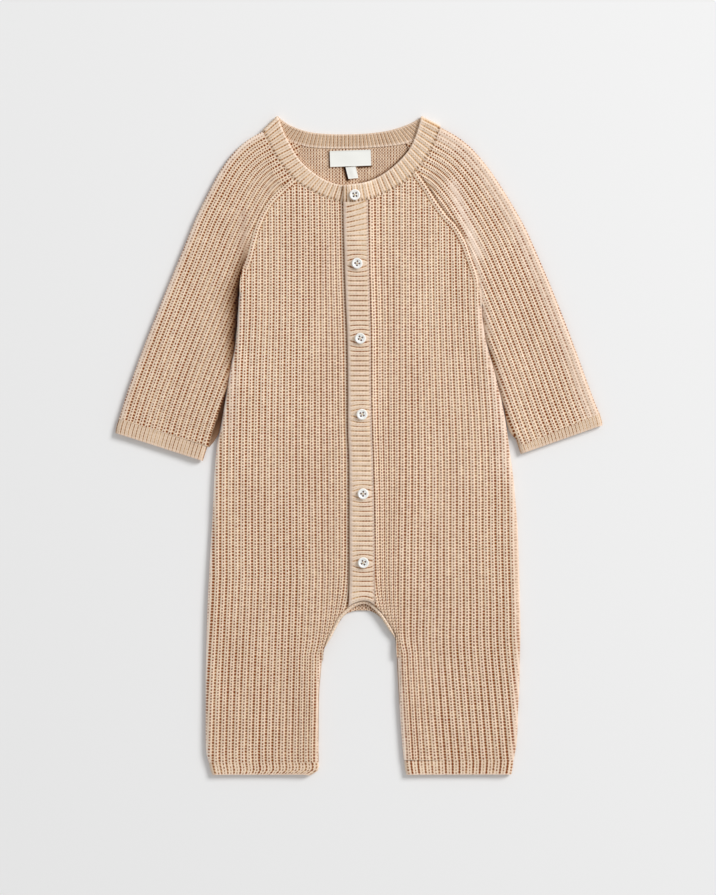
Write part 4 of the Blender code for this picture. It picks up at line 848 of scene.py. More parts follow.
class Cloth:
    """Lattices of middle points that share edges, with what each point carries."""

    def __init__(self):
        self.points = np.zeros((0, 3))
        self.fields = {name: np.zeros(0) for name in FIELDS}
        self.outer, self.plain = [], []
        self.inner_of = np.zeros(0, int)

    def add(self, points, first=None, last=None, marks=None, closed=False, **fields):
        """Add a lattice; marks are the rows that the inside has too."""
        columns, rows = points.shape[:2]
        index = np.arange(columns * rows).reshape(columns, rows) + len(self.points)
        first = np.zeros(columns, int) if first is None else first
        last = np.full(columns, rows - 1) if last is None else last
        marks = np.arange(rows) if marks is None else np.unique(np.append(marks, (0, rows - 1)))
        row = np.clip(np.arange(rows), first[:, None], last[:, None])
        before = marks[np.searchsorted(marks, row, side="right") - 1]
        inner = np.where(row >= last[:, None], last[:, None], np.maximum(before, first[:, None]))
        pick = np.arange(columns)[:, None]
        self.outer.append(quads_of(index[pick, row], closed))
        self.plain.append(quads_of(index[pick, np.clip(marks, first[:, None], last[:, None])], closed))
        self.inner_of = np.concatenate([self.inner_of, index[pick, inner].ravel()])
        self.points = np.vstack([self.points, points.reshape(-1, 3)])
        for name in FIELDS:
            value = fields.get(name, 1.0 if name == "tone" else 0.0)
            value = np.broadcast_to(value, (columns, rows)).ravel()
            self.fields[name] = np.concatenate([self.fields[name], value])

    def build(self, name, material, up=True, settle=None, inner_ribs=1):
        """Weld the lattices, raise the relief, close the wall and make the object.

        up is False where the outside faces the floor, settle moves the inside's points,
        and inner_ribs is how many ribs the inside shows to one outside.
        """
        outer, plain = np.vstack(self.outer), np.vstack(self.plain)
        used = np.unique(outer)
        keys = np.round(self.points[used] / (1e-3 * MM)).astype(np.int64)
        _, kept, where = np.unique(keys, axis=0, return_index=True, return_inverse=True)
        place = np.full(len(self.points), -1)
        place[used] = where.reshape(-1)
        kept = used[kept]
        mid = self.points[kept]
        data = {key: value[kept] for key, value in self.fields.items()}
        inner_of = place[self.inner_of[kept]]
        quads, triangles = sorted_faces(place[outer])
        plain_quads, plain_triangles = sorted_faces(place[plain])
        out = vertex_directions(mid, quads, triangles)
        if (out[data["stance"] != ON_END, 2].mean() < 0) == up:
            out = -out
            quads, triangles = quads[:, ::-1], triangles[:, ::-1]
            plain_quads, plain_triangles = plain_quads[:, ::-1], plain_triangles[:, ::-1]
        out[data["stance"] == ON_END, 2] = 0.0
        out[data["stance"] == LEVEL, :2] = 0.0
        out /= np.maximum(np.linalg.norm(out, axis=1, keepdims=True), 1e-9)
        top = mid + out * (WALL / 2 + data["relief"])[:, None]
        flagged = np.unique(np.concatenate([plain_quads.ravel(), plain_triangles.ravel()]))
        base = (mid - out * (WALL / 2 + data["relief_in"])[:, None])[flagged]
        if settle:
            base = settle(mid[flagged], base)
        inner_index = np.full(len(mid), -1)
        inner_index[flagged] = len(mid) + np.arange(len(flagged))
        rim = rim_faces(quads, triangles, inner_index[inner_of], len(mid))
        rim_quads, rim_triangles = sorted_faces(rim)
        carried = {key: np.concatenate([value, value[flagged]]) for key, value in data.items()}
        carried["ribs"][len(mid):] *= inner_ribs
        carried["tone"] = np.maximum(carried["tone"], DARKEST)
        inside = (carried["tone"] + carried["tone_in"])[len(mid):]
        carried["tone"][len(mid):] = np.maximum(inside, DARKEST)
        return surface(name, np.vstack([top, base]),
                       np.vstack([quads, inner_index[plain_quads][:, ::-1], rim_quads]),
                       np.vstack([triangles, inner_index[plain_triangles][:, ::-1], rim_triangles]),
                       material, carried, sharp=RIM_ANGLE)


def vertex_directions(points, quads, triangles):
    """Outward direction at each point: the sum of its faces' directions, by area."""
    a, b, c, d = (points[quads[:, k]] for k in range(4))
    across = np.cross(c - a, d - b)
    a, b, c = (points[triangles[:, k]] for k in range(3))
    small = np.cross(b - a, c - a)
    corners = np.concatenate([quads.T.ravel(), triangles.T.ravel()])
    shares = np.vstack([np.tile(across, (4, 1)), np.tile(small, (3, 1))])
    total = np.stack([np.bincount(corners, shares[:, k], len(points)) for k in range(3)], axis=1)
    return total / np.maximum(np.linalg.norm(total, axis=1, keepdims=True), 1e-15)


def rim_faces(quads, triangles, inner, count):
    """Faces that close the wall along every edge that has a face on one side only."""
    edges = [np.stack([faces[:, k], np.roll(faces, -1, axis=1)[:, k]], axis=1)
             for faces in (quads, triangles) for k in range(faces.shape[1])]
    a, b = np.vstack(edges).T
    alone = ~np.isin(a * count + b, b * count + a)
    a, b = a[alone], b[alone]
    return np.stack([b, a, inner[a], inner[b]], axis=1)


def surface(node, points, quads, triangles, material, fields=None, sharp=None):
    """Make the object, with its UV maps and attributes, in the place of a node."""
    name = node + "_finished"
    mesh = bpy.data.meshes.new(name)
    points = np.column_stack([points[:, :2], np.maximum(points[:, 2], 0.0)])
    corners = np.concatenate([quads.ravel(), triangles.ravel()]).astype(np.int32)
    starts = np.concatenate([np.arange(len(quads)) * 4, len(quads) * 4 + np.arange(len(triangles)) * 3])
    mesh.vertices.add(len(points))
    mesh.vertices.foreach_set("co", np.asarray(points, np.float32).ravel())
    mesh.loops.add(len(corners))
    mesh.loops.foreach_set("vertex_index", corners)
    mesh.polygons.add(len(starts))
    mesh.polygons.foreach_set("loop_start", starts.astype(np.int32))
    if fields:
        for layer, (u, v) in {"knit": ("ribs", "rows"), "edge": ("edge_ribs", "edge_rows")}.items():
            plane = np.stack([fields[u], fields[v]], axis=1)[corners]
            mesh.uv_layers.new(name=layer).data.foreach_set("uv", plane.astype(np.float32).ravel())
        for key in ("ridge", "tone", "faint"):
            carry(mesh, key, fields[key])
    mesh.update(calc_edges=True)
    mesh.validate()
    mesh.shade_smooth()
    if sharp:
        mesh.set_sharp_from_angle(angle=math.radians(sharp))
    mesh.materials.append(material)
    piece = bpy.data.objects.new(name, mesh)
    bpy.context.scene.collection.objects.link(piece)
    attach(piece, "root")
    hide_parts(node)
    return piece


def carry(mesh, name, values):
    """Give the mesh's points a number each, for its material."""
    mesh.attributes.new(name, "FLOAT", "POINT").data.foreach_set("value", values.astype(np.float32))


# ================================================================ the body
def lattice_heights(front):
    """Heights of a half's lattice rows; below the neck the back has one to a knitted row."""
    fine = np.arange(LATTICE_TOP, LATTICE_BOTTOM, -STEP)
    return fine if front else fine[(fine > BACK_FINE) | (np.arange(len(fine)) % ROW_STEPS == 0)]


def body_levels(side, y):
    """Band edge, inner leg and side edge at given heights, outwards from the centre."""
    levels = softened(RIGHT_HALF if side == "right" else LEFT_HALF)
    return [np.interp(y, levels[:, 0], levels[:, k]) for k in (1, 2, 3)]


def pitch_at(side, y):
    """Width of a rib at given heights."""
    rows = softened(RIB_PITCH[side])
    return np.interp(y, rows[:, 0], rows[:, 1])


def inset(y, fold):
    """From a drawn edge to the middle of the wall: a seam's, then a fold's from a height down."""
    return SEAM + (EDGE_INSET - SEAM) * (1.0 - turned(np.maximum(y - fold, 0.0)))


def front_raglan(side):
    """The front raglan seam, from the neckband to the underarm."""
    curve = softened(SLEEVE[side])[:, 2:]
    seam = curve[curve[:, 1] >= UNDERARM[side] * MM]
    return seam * (SIGN[side], 1.0)


def neck_seam(front):
    """The neckband's seam, in front or behind."""
    return softened([(row.seam_x, row.seam_y) for row in (NECK_FRONT if front else NECK_BACK)])


def top_line(front):
    """Neck seam and raglans, from the right underarm to the left one."""
    sides = []
    for side in ("right", "left"):
        line = front_raglan(side)
        if not front:
            start = BACK_RAGLAN_START[side]
            line = np.array([(SIGN[side] * start.x * MM, start.y * MM), line[-1]])
        sides.append(line)
    neck = neck_seam(front)
    neck = neck[np.argsort(neck[:, 0])]
    low, high = sides[0][0, 0] + NECK_APART, sides[1][0, 0] - NECK_APART
    neck = neck[(neck[:, 0] > low) & (neck[:, 0] < high)]
    return np.vstack([sides[0][::-1], neck, sides[1]])


def rib_marks(stop, places=RIB_PLACES):
    """Places of the columns of a run of ribs."""
    marks = (np.arange(stop)[:, None] + np.array(places)).ravel()
    return np.append(marks, stop)


def half_layout(side, front):
    """Columns of one half, as |x| by height: first the wedge beside the band, then the leg.

    Ribs stand side by side outwards from the inner leg's line; those that reach the
    hem and the top are whole, and the strip outside them is shared out to the edge.
    """
    y = lattice_heights(front)
    band, leg, edge = body_levels(side, y)
    if not front:
        band = np.zeros_like(band)
    underarm, fork = UNDERARM[side] * MM, FORK[side] * MM
    edge = edge - inset(y, underarm - SLACK)
    fork_row = int(np.argmin(np.abs(y - fork)))
    pitch = pitch_at(side, y)
    leg_in = leg + inset(y, y[fork_row] - SLACK) - SEAM
    wedge_ribs = WEDGE_RIBS if front else round(float(leg.mean() / pitch.mean()))
    whole = int(((edge - leg) / pitch)[np.abs(y - underarm) < FIT_REACH].min() - FIT_SPARE)
    marks = np.sort(np.append(rib_marks(whole), FIRST_PLACES["body"]))[:, None]
    near = np.clip(1.0 - marks / FOLLOW_RIBS, 0.0, 1.0)
    fitted = leg + marks * pitch + (leg_in - leg) * near
    margin = np.minimum(FOLD_RADIUS, FOLD_SHARE["body"] * (edge - fitted[-1]))
    count = int(((edge - fitted[-1]) / pitch).max() * len(RIB_PLACES)) + 2
    shares = np.linspace(0.0, 1.0, count)[1:, None]
    strip = fitted[-1] + (edge - margin - fitted[-1]) * shares
    turn = edge - margin * TURN_PLACES
    leg_columns = np.vstack([fitted, strip, turn])
    wedge = rib_marks(wedge_ribs)[:, None] / wedge_ribs
    wedge_columns = band + (leg - band) * wedge
    return {"y": y, "leg_columns": leg_columns, "wedge_columns": wedge_columns, "fork_row": fork_row,
            "edge": edge, "leg_in": leg_in, "leg": leg, "band": band, "pitch": pitch,
            "wedge_ribs": wedge_ribs}


def folds(layout, side, x, y):
    """Distance of each point from the nearer folded edge of its leg or side."""
    heights = layout["y"][::-1]
    edge = np.interp(y, heights, layout["edge"][::-1])
    leg = np.interp(y, heights, layout["leg_in"][::-1])
    fork = layout["y"][layout["fork_row"]]
    to_side = np.hypot(edge - x, np.maximum(0.0, y - (UNDERARM[side] * MM - SLACK)))
    to_leg = np.hypot(x - leg, np.maximum(0.0, y - (fork - SLACK)))
    return np.minimum(to_side, to_leg)


def rib_place(layout, side, x, y):
    """Which rib a point lies on, counted from the band edge."""
    heights = layout["y"][::-1]
    band, leg, pitch = (np.interp(y, heights, layout[key][::-1]) for key in ("band", "leg", "pitch"))
    low, high = (height * MM for height in STRAIGHT_RIBS[side])
    ends = np.interp((low, high), heights, layout["leg"][::-1])
    leg = np.where((y > low) & (y < high), np.interp(y, (low, high), ends), leg)
    outside = layout["wedge_ribs"] + (x - leg) / pitch
    inside = layout["wedge_ribs"] * (x - band) / (leg - band)
    return np.where(x > leg, outside, inside)


def seam_fields(plan, side, ribs, rows, knit_look):
    """Relief and fields of a front: its own ribs, but two ribs along the raglan seam."""
    flat = plan.reshape(-1, 2)
    underarm = UNDERARM[side] * MM
    close = (np.abs(flat[:, 0]) > SEAM_SIDE) & (flat[:, 1] > underarm - SEAM_BELOW)
    gap, along = np.full(len(flat), FAR), np.zeros(len(flat))
    gap[close], along[close] = along_line(flat[close], front_raglan(side))
    gap, along = gap.reshape(ribs.shape), along.reshape(ribs.shape)
    edge_ribs, edge_rows = gap / SEAM_RIB, -along / ROW
    ridge = smooth((RIDGE_RIBS * SEAM_RIB - gap) / RIDGE_EDGE)
    ridge *= smooth((plan[..., 1] - (UNDERARM[side] + RIDGE_ABOVE) * MM) / RIDGE_FADE)
    own = stitch_relief(ribs, rows, knit_look.rib_raise, knit_look.strand_raise)
    other = stitch_relief(edge_ribs, edge_rows, knit_look.rib_raise * RIDGE_RAISE, knit_look.strand_raise)
    other = other + bell(gap / SEAM_RIB, RIDGE_BULGE)
    return own + (other - own) * ridge, {"edge_ribs": edge_ribs, "edge_rows": edge_rows, "ridge": ridge}


def body_half(cloth, side, front, knit_look):
    """Add one half of the front or the back, with its leg."""
    layout = half_layout(side, front)
    sign, y = SIGN[side], layout["y"]
    top = top_line(front)
    arch = softened(FRONT_ARCH if front else BACK_ARCH)
    if front:
        arch = moved(arch, TRIM_RADIUS + PIECE_GAP)
    shown = 0 if front else int((y > BACK_FINE).sum())
    plain = np.arange(shown, len(y), COARSE if front else BACK_COARSE)
    fork = layout["fork_row"]
    marks = np.unique(np.concatenate([np.arange(shown), plain, [fork]]))
    for part in ("wedge", "leg"):
        x = layout[part + "_columns"] * sign
        plan = np.stack([x, np.broadcast_to(y, x.shape)], axis=-1).copy()
        floor = HEM_LINE[side] * MM + SEAM if part == "leg" else graph(arch, x)
        room = np.minimum(graph(top, x) - SEAM - y, y - floor)
        if part == "wedge":
            room[-1, fork], room[-1, fork + 1:] = 0.0, -FAR
        first, last = cut(plan, room)
        if part == "wedge":
            last[-1] = fork
            plan[-1, fork] = (x[-1, fork], y[fork])
        px, py = plan[..., 0], plan[..., 1]
        out, below_top = np.abs(px), graph(top, px) - py
        distance = folds(layout, side, out, py)
        bend = ARCH_BEND * np.exp(-np.maximum(py - graph(arch, px), 0.0) / ARCH_BEND_REACH)
        bend *= rising(out, ARCH_BEND_IN) * (1 - rising(out, ARCH_BEND_OUT))
        ribs, rows = rib_place(layout, side, out - bend, py), py / ROW
        stance = np.full(px.shape, FREE)
        stance[distance < ON_EDGE] = ON_END
        stance[np.arange(len(px)), first] = LEVEL
        tone = TOP_TONE + rising(below_top, TOP_LIGHTER)
        # painted light and shade from the washes
        painted_light_and_shade, washed = washes(px, py, WASHES if front else INSIDE_WASHES)
        if front:
            tone = tone + painted_light_and_shade - (free_edge_shadow(px, py) if side == "right" else 0.0)
        tone = tone * daylight(py)
        on_wall = falling(distance, FOLD_WALL)
        if front:
            # painted light on the folds that face away from the light
            tone = tone + np.where(px < sign * LEG_MIDDLE, bell(distance, AWAY_FOLD), 0.0)
            # painted highlight: the stitches go pale along the folds
            pale, reach = EDGE_PALE[side]
            pale = pale * (FOLD_PALE_LEAST + rising(distance, FOLD_PALER))
            pale = pale * (1.0 - smooth((distance - FOLD_PALE_START) / (reach * MM)))
            faint = np.maximum(np.maximum(pale, washed), on_wall)
            height = upper_height(distance, FOLD_GAP) + creases(px, py) * smooth(distance / CREASE_FADE)
            height += band_lift(px, py) if side == "left" else 0.0
            relief, extra = seam_fields(plan, side, ribs, rows, knit_look)
            relief = relief * (1 - FLATTENED * faint) - bell(below_top, TOP_GROOVE)
            relief = relief - ARCH_THIN * thinned(px, py, arch)
            if side == "right":
                relief = relief * rising(out, BENEATH_BANDS)
            fields = {"relief": relief, "faint": faint, **extra}
        else:
            sunk = SUNK * knit_look.rib_raise
            height = lower_height(distance, FOLD_GAP) + sunk * smooth(distance / FOLD_RADIUS)
            chains = stitch_relief(INSIDE_RIBS * ribs, rows, INSIDE_RAISE, INSIDE_STRANDS) - INSIDE_DEEP
            fields = {"relief": stitch_relief(ribs, rows, knit_look.rib_raise, 0.0) - sunk,
                      "relief_in": chains, "tone_in": painted_light_and_shade - rim_shadow(px, py), "faint": on_wall}
        fields.update(ribs=ribs, rows=rows, stance=stance, tone=tone)
        points = np.dstack([px, py, height])
        order = slice(None, None, int(sign))        # all the columns run towards +X
        cloth.add(points[order], first[order], last[order], marks,
                  **{key: value[order] for key, value in fields.items()})


def parted(mid, base):
    """Keep the plain inside on its own side of the height where the layers meet."""
    over = mid[:, 2] > FOLD_HEIGHT
    margin = FOLD_GAP / 2
    base[over, 2] = np.maximum(base[over, 2], FOLD_HEIGHT + margin)
    base[~over, 2] = np.minimum(base[~over, 2], FOLD_HEIGHT - margin)
    return base


class ROMPER_OT_fronts(bpy.types.Operator):
    """The two front panels, each with its leg"""
    bl_idname = "romper.fronts"
    bl_label = "Fronts"

    def execute(self, context):
        look = context.scene.romper_knit
        wool = knit("rib_knit", feet=0.16, light=1.01)
        for side in ("right", "left"):
            cloth = Cloth()
            body_half(cloth, side, True, look)
            piece = cloth.build("front_" + side, wool, settle=parted)
        return {"FINISHED"}


class ROMPER_OT_back(bpy.types.Operator):
    """The back, in one piece with both its legs; its inside shows in the neck"""
    bl_idname = "romper.back"
    bl_label = "Back"

    def execute(self, context):
        look = context.scene.romper_knit
        wool = knit("back_knit", dots=0.85, lines=0.24, light=0.92, slope=INSIDE_SLOPE)
        cloth = Cloth()
        for side in ("right", "left"):
            body_half(cloth, side, False, look)
        piece = cloth.build("back", wool, up=False, settle=parted, inner_ribs=INSIDE_RIBS)
        return {"FINISHED"}


# ================================================================ sleeves
def sleeve_guides(side, step):
    """Outer fold, its directions inwards, lengths along it, and how far in the edges lie there.

    The edges are the front layer's, the back layer's and the sleeve's own before it is
    drawn in to the body's side; below is the length at which the sleeve is closed.
    """
    sign, underarm = SIGN[side], UNDERARM[side] * MM
    curve = softened(SLEEVE[side])
    outer, inner = curve[:, :2] * (sign, 1.0), curve[:, 2:] * (sign, 1.0)
    across = inner - outer
    across /= np.linalg.norm(across, axis=1, keepdims=True)
    own = inner.copy()
    low, high = TUCK[side]
    beside = body_levels(side, inner[:, 1])[2] + 2 * SEAM
    share = smooth((inner[:, 1] - low * MM) / ((high - low) * MM)) * (inner[:, 1] < underarm)
    inner[:, 0] += (sign * beside - inner[:, 0]) * share
    outer = outer + across * EDGE_INSET
    inner = inner - across * inset(inner[:, 1], underarm - SLACK)[:, None]
    way = outer[0] - outer[1]
    outer = np.vstack([outer[0] + way / np.linalg.norm(way) * SLEEVE_MORE * MM, outer])
    length = steps_of(outer).sum()
    t = length - np.arange(int(length / step))[::-1] * step
    line = np.stack([np.interp(t, lengths(outer), column) for column in outer.T], axis=1)
    way = directions(line)
    normal = np.stack([-way[:, 1], way[:, 0]], axis=1)
    if (normal[-1] * (inner[-1] - outer[-1])).sum() < 0:
        normal = -normal
    start = BACK_RAGLAN_START[side]
    corner = inner[inner[:, 1] >= underarm][-1]
    straight = np.linspace((sign * start.x * MM, start.y * MM), corner, RAGLAN_POINTS)
    behind = np.vstack([straight, inner[inner[:, 1] < underarm]])
    reaches = []
    for edge in (inner, behind, own):
        gap, along = along_line(edge, line)
        order = np.argsort(along)
        reaches.append(np.interp(t, t[0] + along[order], gap[order]))
    below = along_line(inner[inner[:, 1] < underarm - SLACK][:1], line)[1][0] + t[0]
    return line, normal, t, reaches, below


def sleeve_columns(reach, whole, places):
    """Distances in from the outer fold: whole ribs first, then a strip shared out to the inner edge."""
    marks = np.sort(np.append(rib_marks(whole, places), FIRST_PLACES["sleeve"]))
    fitted = np.broadcast_to(marks[:, None] * SLEEVE_RIB, (len(marks), len(reach)))
    width = np.maximum(reach - fitted[-1], LEAST_STRIP)
    margin = np.minimum(FOLD_RADIUS, FOLD_SHARE["sleeve"] * width)
    count = int(width.max() / SLEEVE_RIB * len(places)) + 2
    shares = np.linspace(0.0, 1.0, count)[1:, None]
    strip = fitted[-1] + (width - margin) * shares
    turn = fitted[-1] + width - margin * TURN_PLACES
    return np.vstack([fitted, strip, turn])


class ROMPER_OT_sleeves(bpy.types.Operator):
    """The two raglan sleeves, each a flattened tube that opens at its armhole"""
    bl_idname = "romper.sleeves"
    bl_label = "Sleeves"

    def execute(self, context):
        look = context.scene.romper_knit
        wool = knit("sleeve_knit", dots=0.9)
        for side in ("right", "left"):
            self.sleeve(side, look, wool)
        return {"FINISHED"}

    @staticmethod
    def sleeve(side, look, wool):
        """Columns stand at distances in from the outer fold, rows at lengths along it."""
        line, normal, t, (reach, reach_behind, reach_own), below = sleeve_guides(side, STEP)
        upper = sleeve_columns(reach, SLEEVE_FIT["front"], RIB_PLACES)[::-1]
        lower = sleeve_columns(reach_behind, SLEEVE_FIT["back"], PLAIN_PLACES)[1:]
        inward = np.vstack([upper, lower])
        is_upper = (np.arange(len(inward)) < len(upper))[:, None]
        plan = line + normal * inward[..., None]
        x, y = np.abs(plan[..., 0]), plan[..., 1]
        neck, neck_behind = neck_seam(True) * SIGN[side], neck_seam(False)
        neck[:, 1] *= SIGN[side]
        neck = neck[neck[:, 0] > NECK_SIDE]
        neck_behind = neck_behind * (SIGN[side], 1.0)
        room = np.where(is_upper, x - graph(neck, y, 1) - SEAM, graph(neck_behind, x) - SEAM - y)
        room[:, -1] = FAR
        first, last = cut(plan, room)
        x, y = plan[..., 0], plan[..., 1]
        edge = np.where(is_upper, reach, reach_behind)
        to_inner = np.hypot(edge - inward, np.maximum(0.0, below - t))
        distance = np.minimum(inward, to_inner)
        crease = creases(x, y) * smooth(distance / CREASE_FADE)
        ribs, rows = inward / SLEEVE_RIB, np.broadcast_to(-t / ROW, inward.shape)
        relief = stitch_relief(ribs, rows, look.rib_raise, look.strand_raise)
        seam_gap = np.where(t < below, edge - inward, FAR)
        relief = relief * rising(seam_gap, SLEEVE_SINK) - bell(seam_gap, SLEEVE_GROOVE)
        # painted light and shade from the washes
        painted_light_and_shade, washed = washes(x, y, WASHES)
        pale = OUTER_PALE[side] * MM
        faint = np.maximum(falling(inward, Fade(OUTER_FAINT, OUTER_START * pale, pale)), washed)
        faint = np.maximum(faint, rising(inward - reach_own, TUCKED)) * is_upper
        relief = relief * (1 - FLATTENED * faint)
        relief = relief + (END_RELIEF - relief) * (1 - smooth((t[-1] - t) / END_EASE))
        sunk = SUNK * look.rib_raise
        height = np.where(is_upper, upper_height(distance) + crease,
                          lower_height(distance) + sunk * smooth(distance / FOLD_RADIUS))
        relief = np.where(is_upper, relief, relief - sunk)
        # painted shadow on the sleeve beside the body, at its full depth where the sleeve is drawn in past
        # its own edge
        shades = np.array(ARMPIT[side][::-1])
        depth, dark_reach = (np.interp(y / MM, shades[:, 0], shades[:, k]) for k in (1, 2))
        gap = np.maximum(reach_own - inward, 0.0) / (dark_reach * MM)
        # painted shade along the raglan seam
        start, stop, strength = SEAM_LINE[side]
        line_here = smooth((y / MM - stop) / LINE_FADE) * smooth((start - y / MM) / LINE_FADE) * strength
        tone = 1.0 + painted_light_and_shade - depth * np.exp(-gap ** SHADE_POWER)
        tone = tone - line_here * bell(seam_gap, LINE_ACROSS) + bell(inward, OUTER_FOLD[side])
        tone = np.where(is_upper, np.maximum(tone, DARKEST) * SLEEVE_TONE[side], LOWER_TONE) * daylight(y)
        stance = np.full(inward.shape, FREE)
        stance[distance < ON_EDGE] = ON_END
        stance[np.arange(len(inward)), first] = LEVEL
        stance[[0, -1]] = np.where(t < below - SLACK, LEVEL, stance[[0, -1]])
        cloth = Cloth()
        cloth.add(np.dstack([x, y, height]), first, last, np.arange(0, len(t), COARSE), ribs=ribs,
                  rows=rows, relief=relief, tone=tone, faint=faint, stance=stance)
        piece = cloth.build("sleeve_" + side, wool)


class ROMPER_OT_ends(bpy.types.Operator):
    """The finely ribbed cuffs and leg hems, short flattened tubes"""
    bl_idname = "romper.ends"
    bl_label = "Cuffs and hems"

    def execute(self, context):
        look = context.scene.romper_knit
        fine = knit("fine_knit", dots=0.1, lines=0.46, veins=0.12, light=0.86)
        plain = knit("hem_knit", dots=0.55, lines=0.55, veins=0.14)
        for side in ("right", "left"):
            self.ribbed_end("cuff_" + side, CUFF[side], side, None, look, fine, (0.152, 0.0125))
            pitch = RIB_PITCH[side][0].width * MM
            self.ribbed_end("leg_hem_" + side, HEM[side], side, pitch, look, plain, (0.186, 0.0110))
        return {"FINISHED"}

    @staticmethod
    def ribbed_end(name, table, side, pitch, look, wool, flat):
        """Columns share out the way between the tube's two folds, on both its sides.

        With a pitch the ribs carry on from the leg's; without one they are the cuff's own.
        """
        curve = softened(table, END_ROWS)
        outer, inner = curve[:, :2] * (SIGN[side], 1.0), curve[:, 2:] * (SIGN[side], 1.0)
        for edge in (outer, inner):
            way = edge[0] - edge[1]
            edge[0] += way / np.linalg.norm(way) * END_REACH
        across = inner - outer
        across /= np.linalg.norm(across, axis=1, keepdims=True)
        outer, inner = outer + across * EDGE_INSET, inner - across * EDGE_INSET
        width = np.linalg.norm(inner - outer, axis=1)
        marks = np.linspace(0.0, 1.0, CUFF_RIBS * CUFF_STEPS + 1)
        marks = np.sort(np.append(marks, END_FOLDS))
        share = np.concatenate([marks[::-1], marks[1:-1]])[:, None]
        is_upper = (np.arange(len(share)) < len(marks))[:, None]
        plan = outer + (inner - outer) * share[..., None]
        distance = np.minimum(share, 1 - share) * width
        along = np.linspace(0.0, 1.0, END_ROWS)
        if pitch:
            ribs = (np.abs(plan[:, :1, 0]) - table[0].inner_x * MM) / pitch
            rows, raised, joined = plan[..., 1] / ROW, look.rib_raise, 0.0
        else:
            ribs, depth = share * CUFF_RIBS, steps_of(curve[:, :2]).sum()
            rows, raised, joined = -along * depth / ROW, look.fine_raise, 1 - rising(along, END_JOIN)
        ribs, rows, along = (np.broadcast_to(value, plan.shape[:2]) for value in (ribs, rows, along))
        relief = stitch_relief(ribs, rows, raised * (1 - rising(along, END_LOWER)), look.strand_raise)
        relief = relief + (END_RELIEF - relief) * joined + bell(along, END_BEAD)
        sunk = END_SUNK * look.fine_raise
        height = np.where(is_upper, upper_height(distance),
                          lower_height(distance) + sunk * smooth(distance / FOLD_RADIUS))
        relief = np.where(is_upper, relief, relief - sunk)
        tone = (1.0 + rising(along, END_LIGHTER)) * daylight(plan[..., 1])
        stance = np.where(distance < ON_EDGE, ON_END, FREE)
        cloth = Cloth()
        cloth.add(np.dstack([plan, height]), marks=np.arange(0, END_ROWS, END_COARSE), closed=True,
                  ribs=ribs, rows=rows, relief=relief, tone=tone, faint=rising(along, END_FAINT),
                  stance=stance)
        piece = cloth.build(name, wool)


# ================================================================ neckband
def neck_stretch(rows):
    """A stretch of the neckband with so many stations to a rib."""
    length = steps_of((rows[:, :2] + rows[:, 2:]) / 2).sum()
    return resampled(rows, NECK_STEPS * round(length / NECK_RIB) + 1)


def shoulder_turn(front_rows, back_row):
    """Stations and heights of the half turn that takes the band over a shoulder."""
    way = front_rows[-1] - front_rows[-2]
    way = way / np.linalg.norm((way[:2] + way[2:]) / 2)
    turn = np.radians(np.linspace(0, 180, TURN_STATIONS)[1:-1])
    share = turn[:, None] / math.pi
    radius = (FRONT_MID - BACK_MID) / 2
    rows = front_rows[-1] * (1 - share) + back_row * share + way * radius * np.sin(turn)[:, None]
    return rows, BACK_MID + radius * (1 + np.cos(turn))


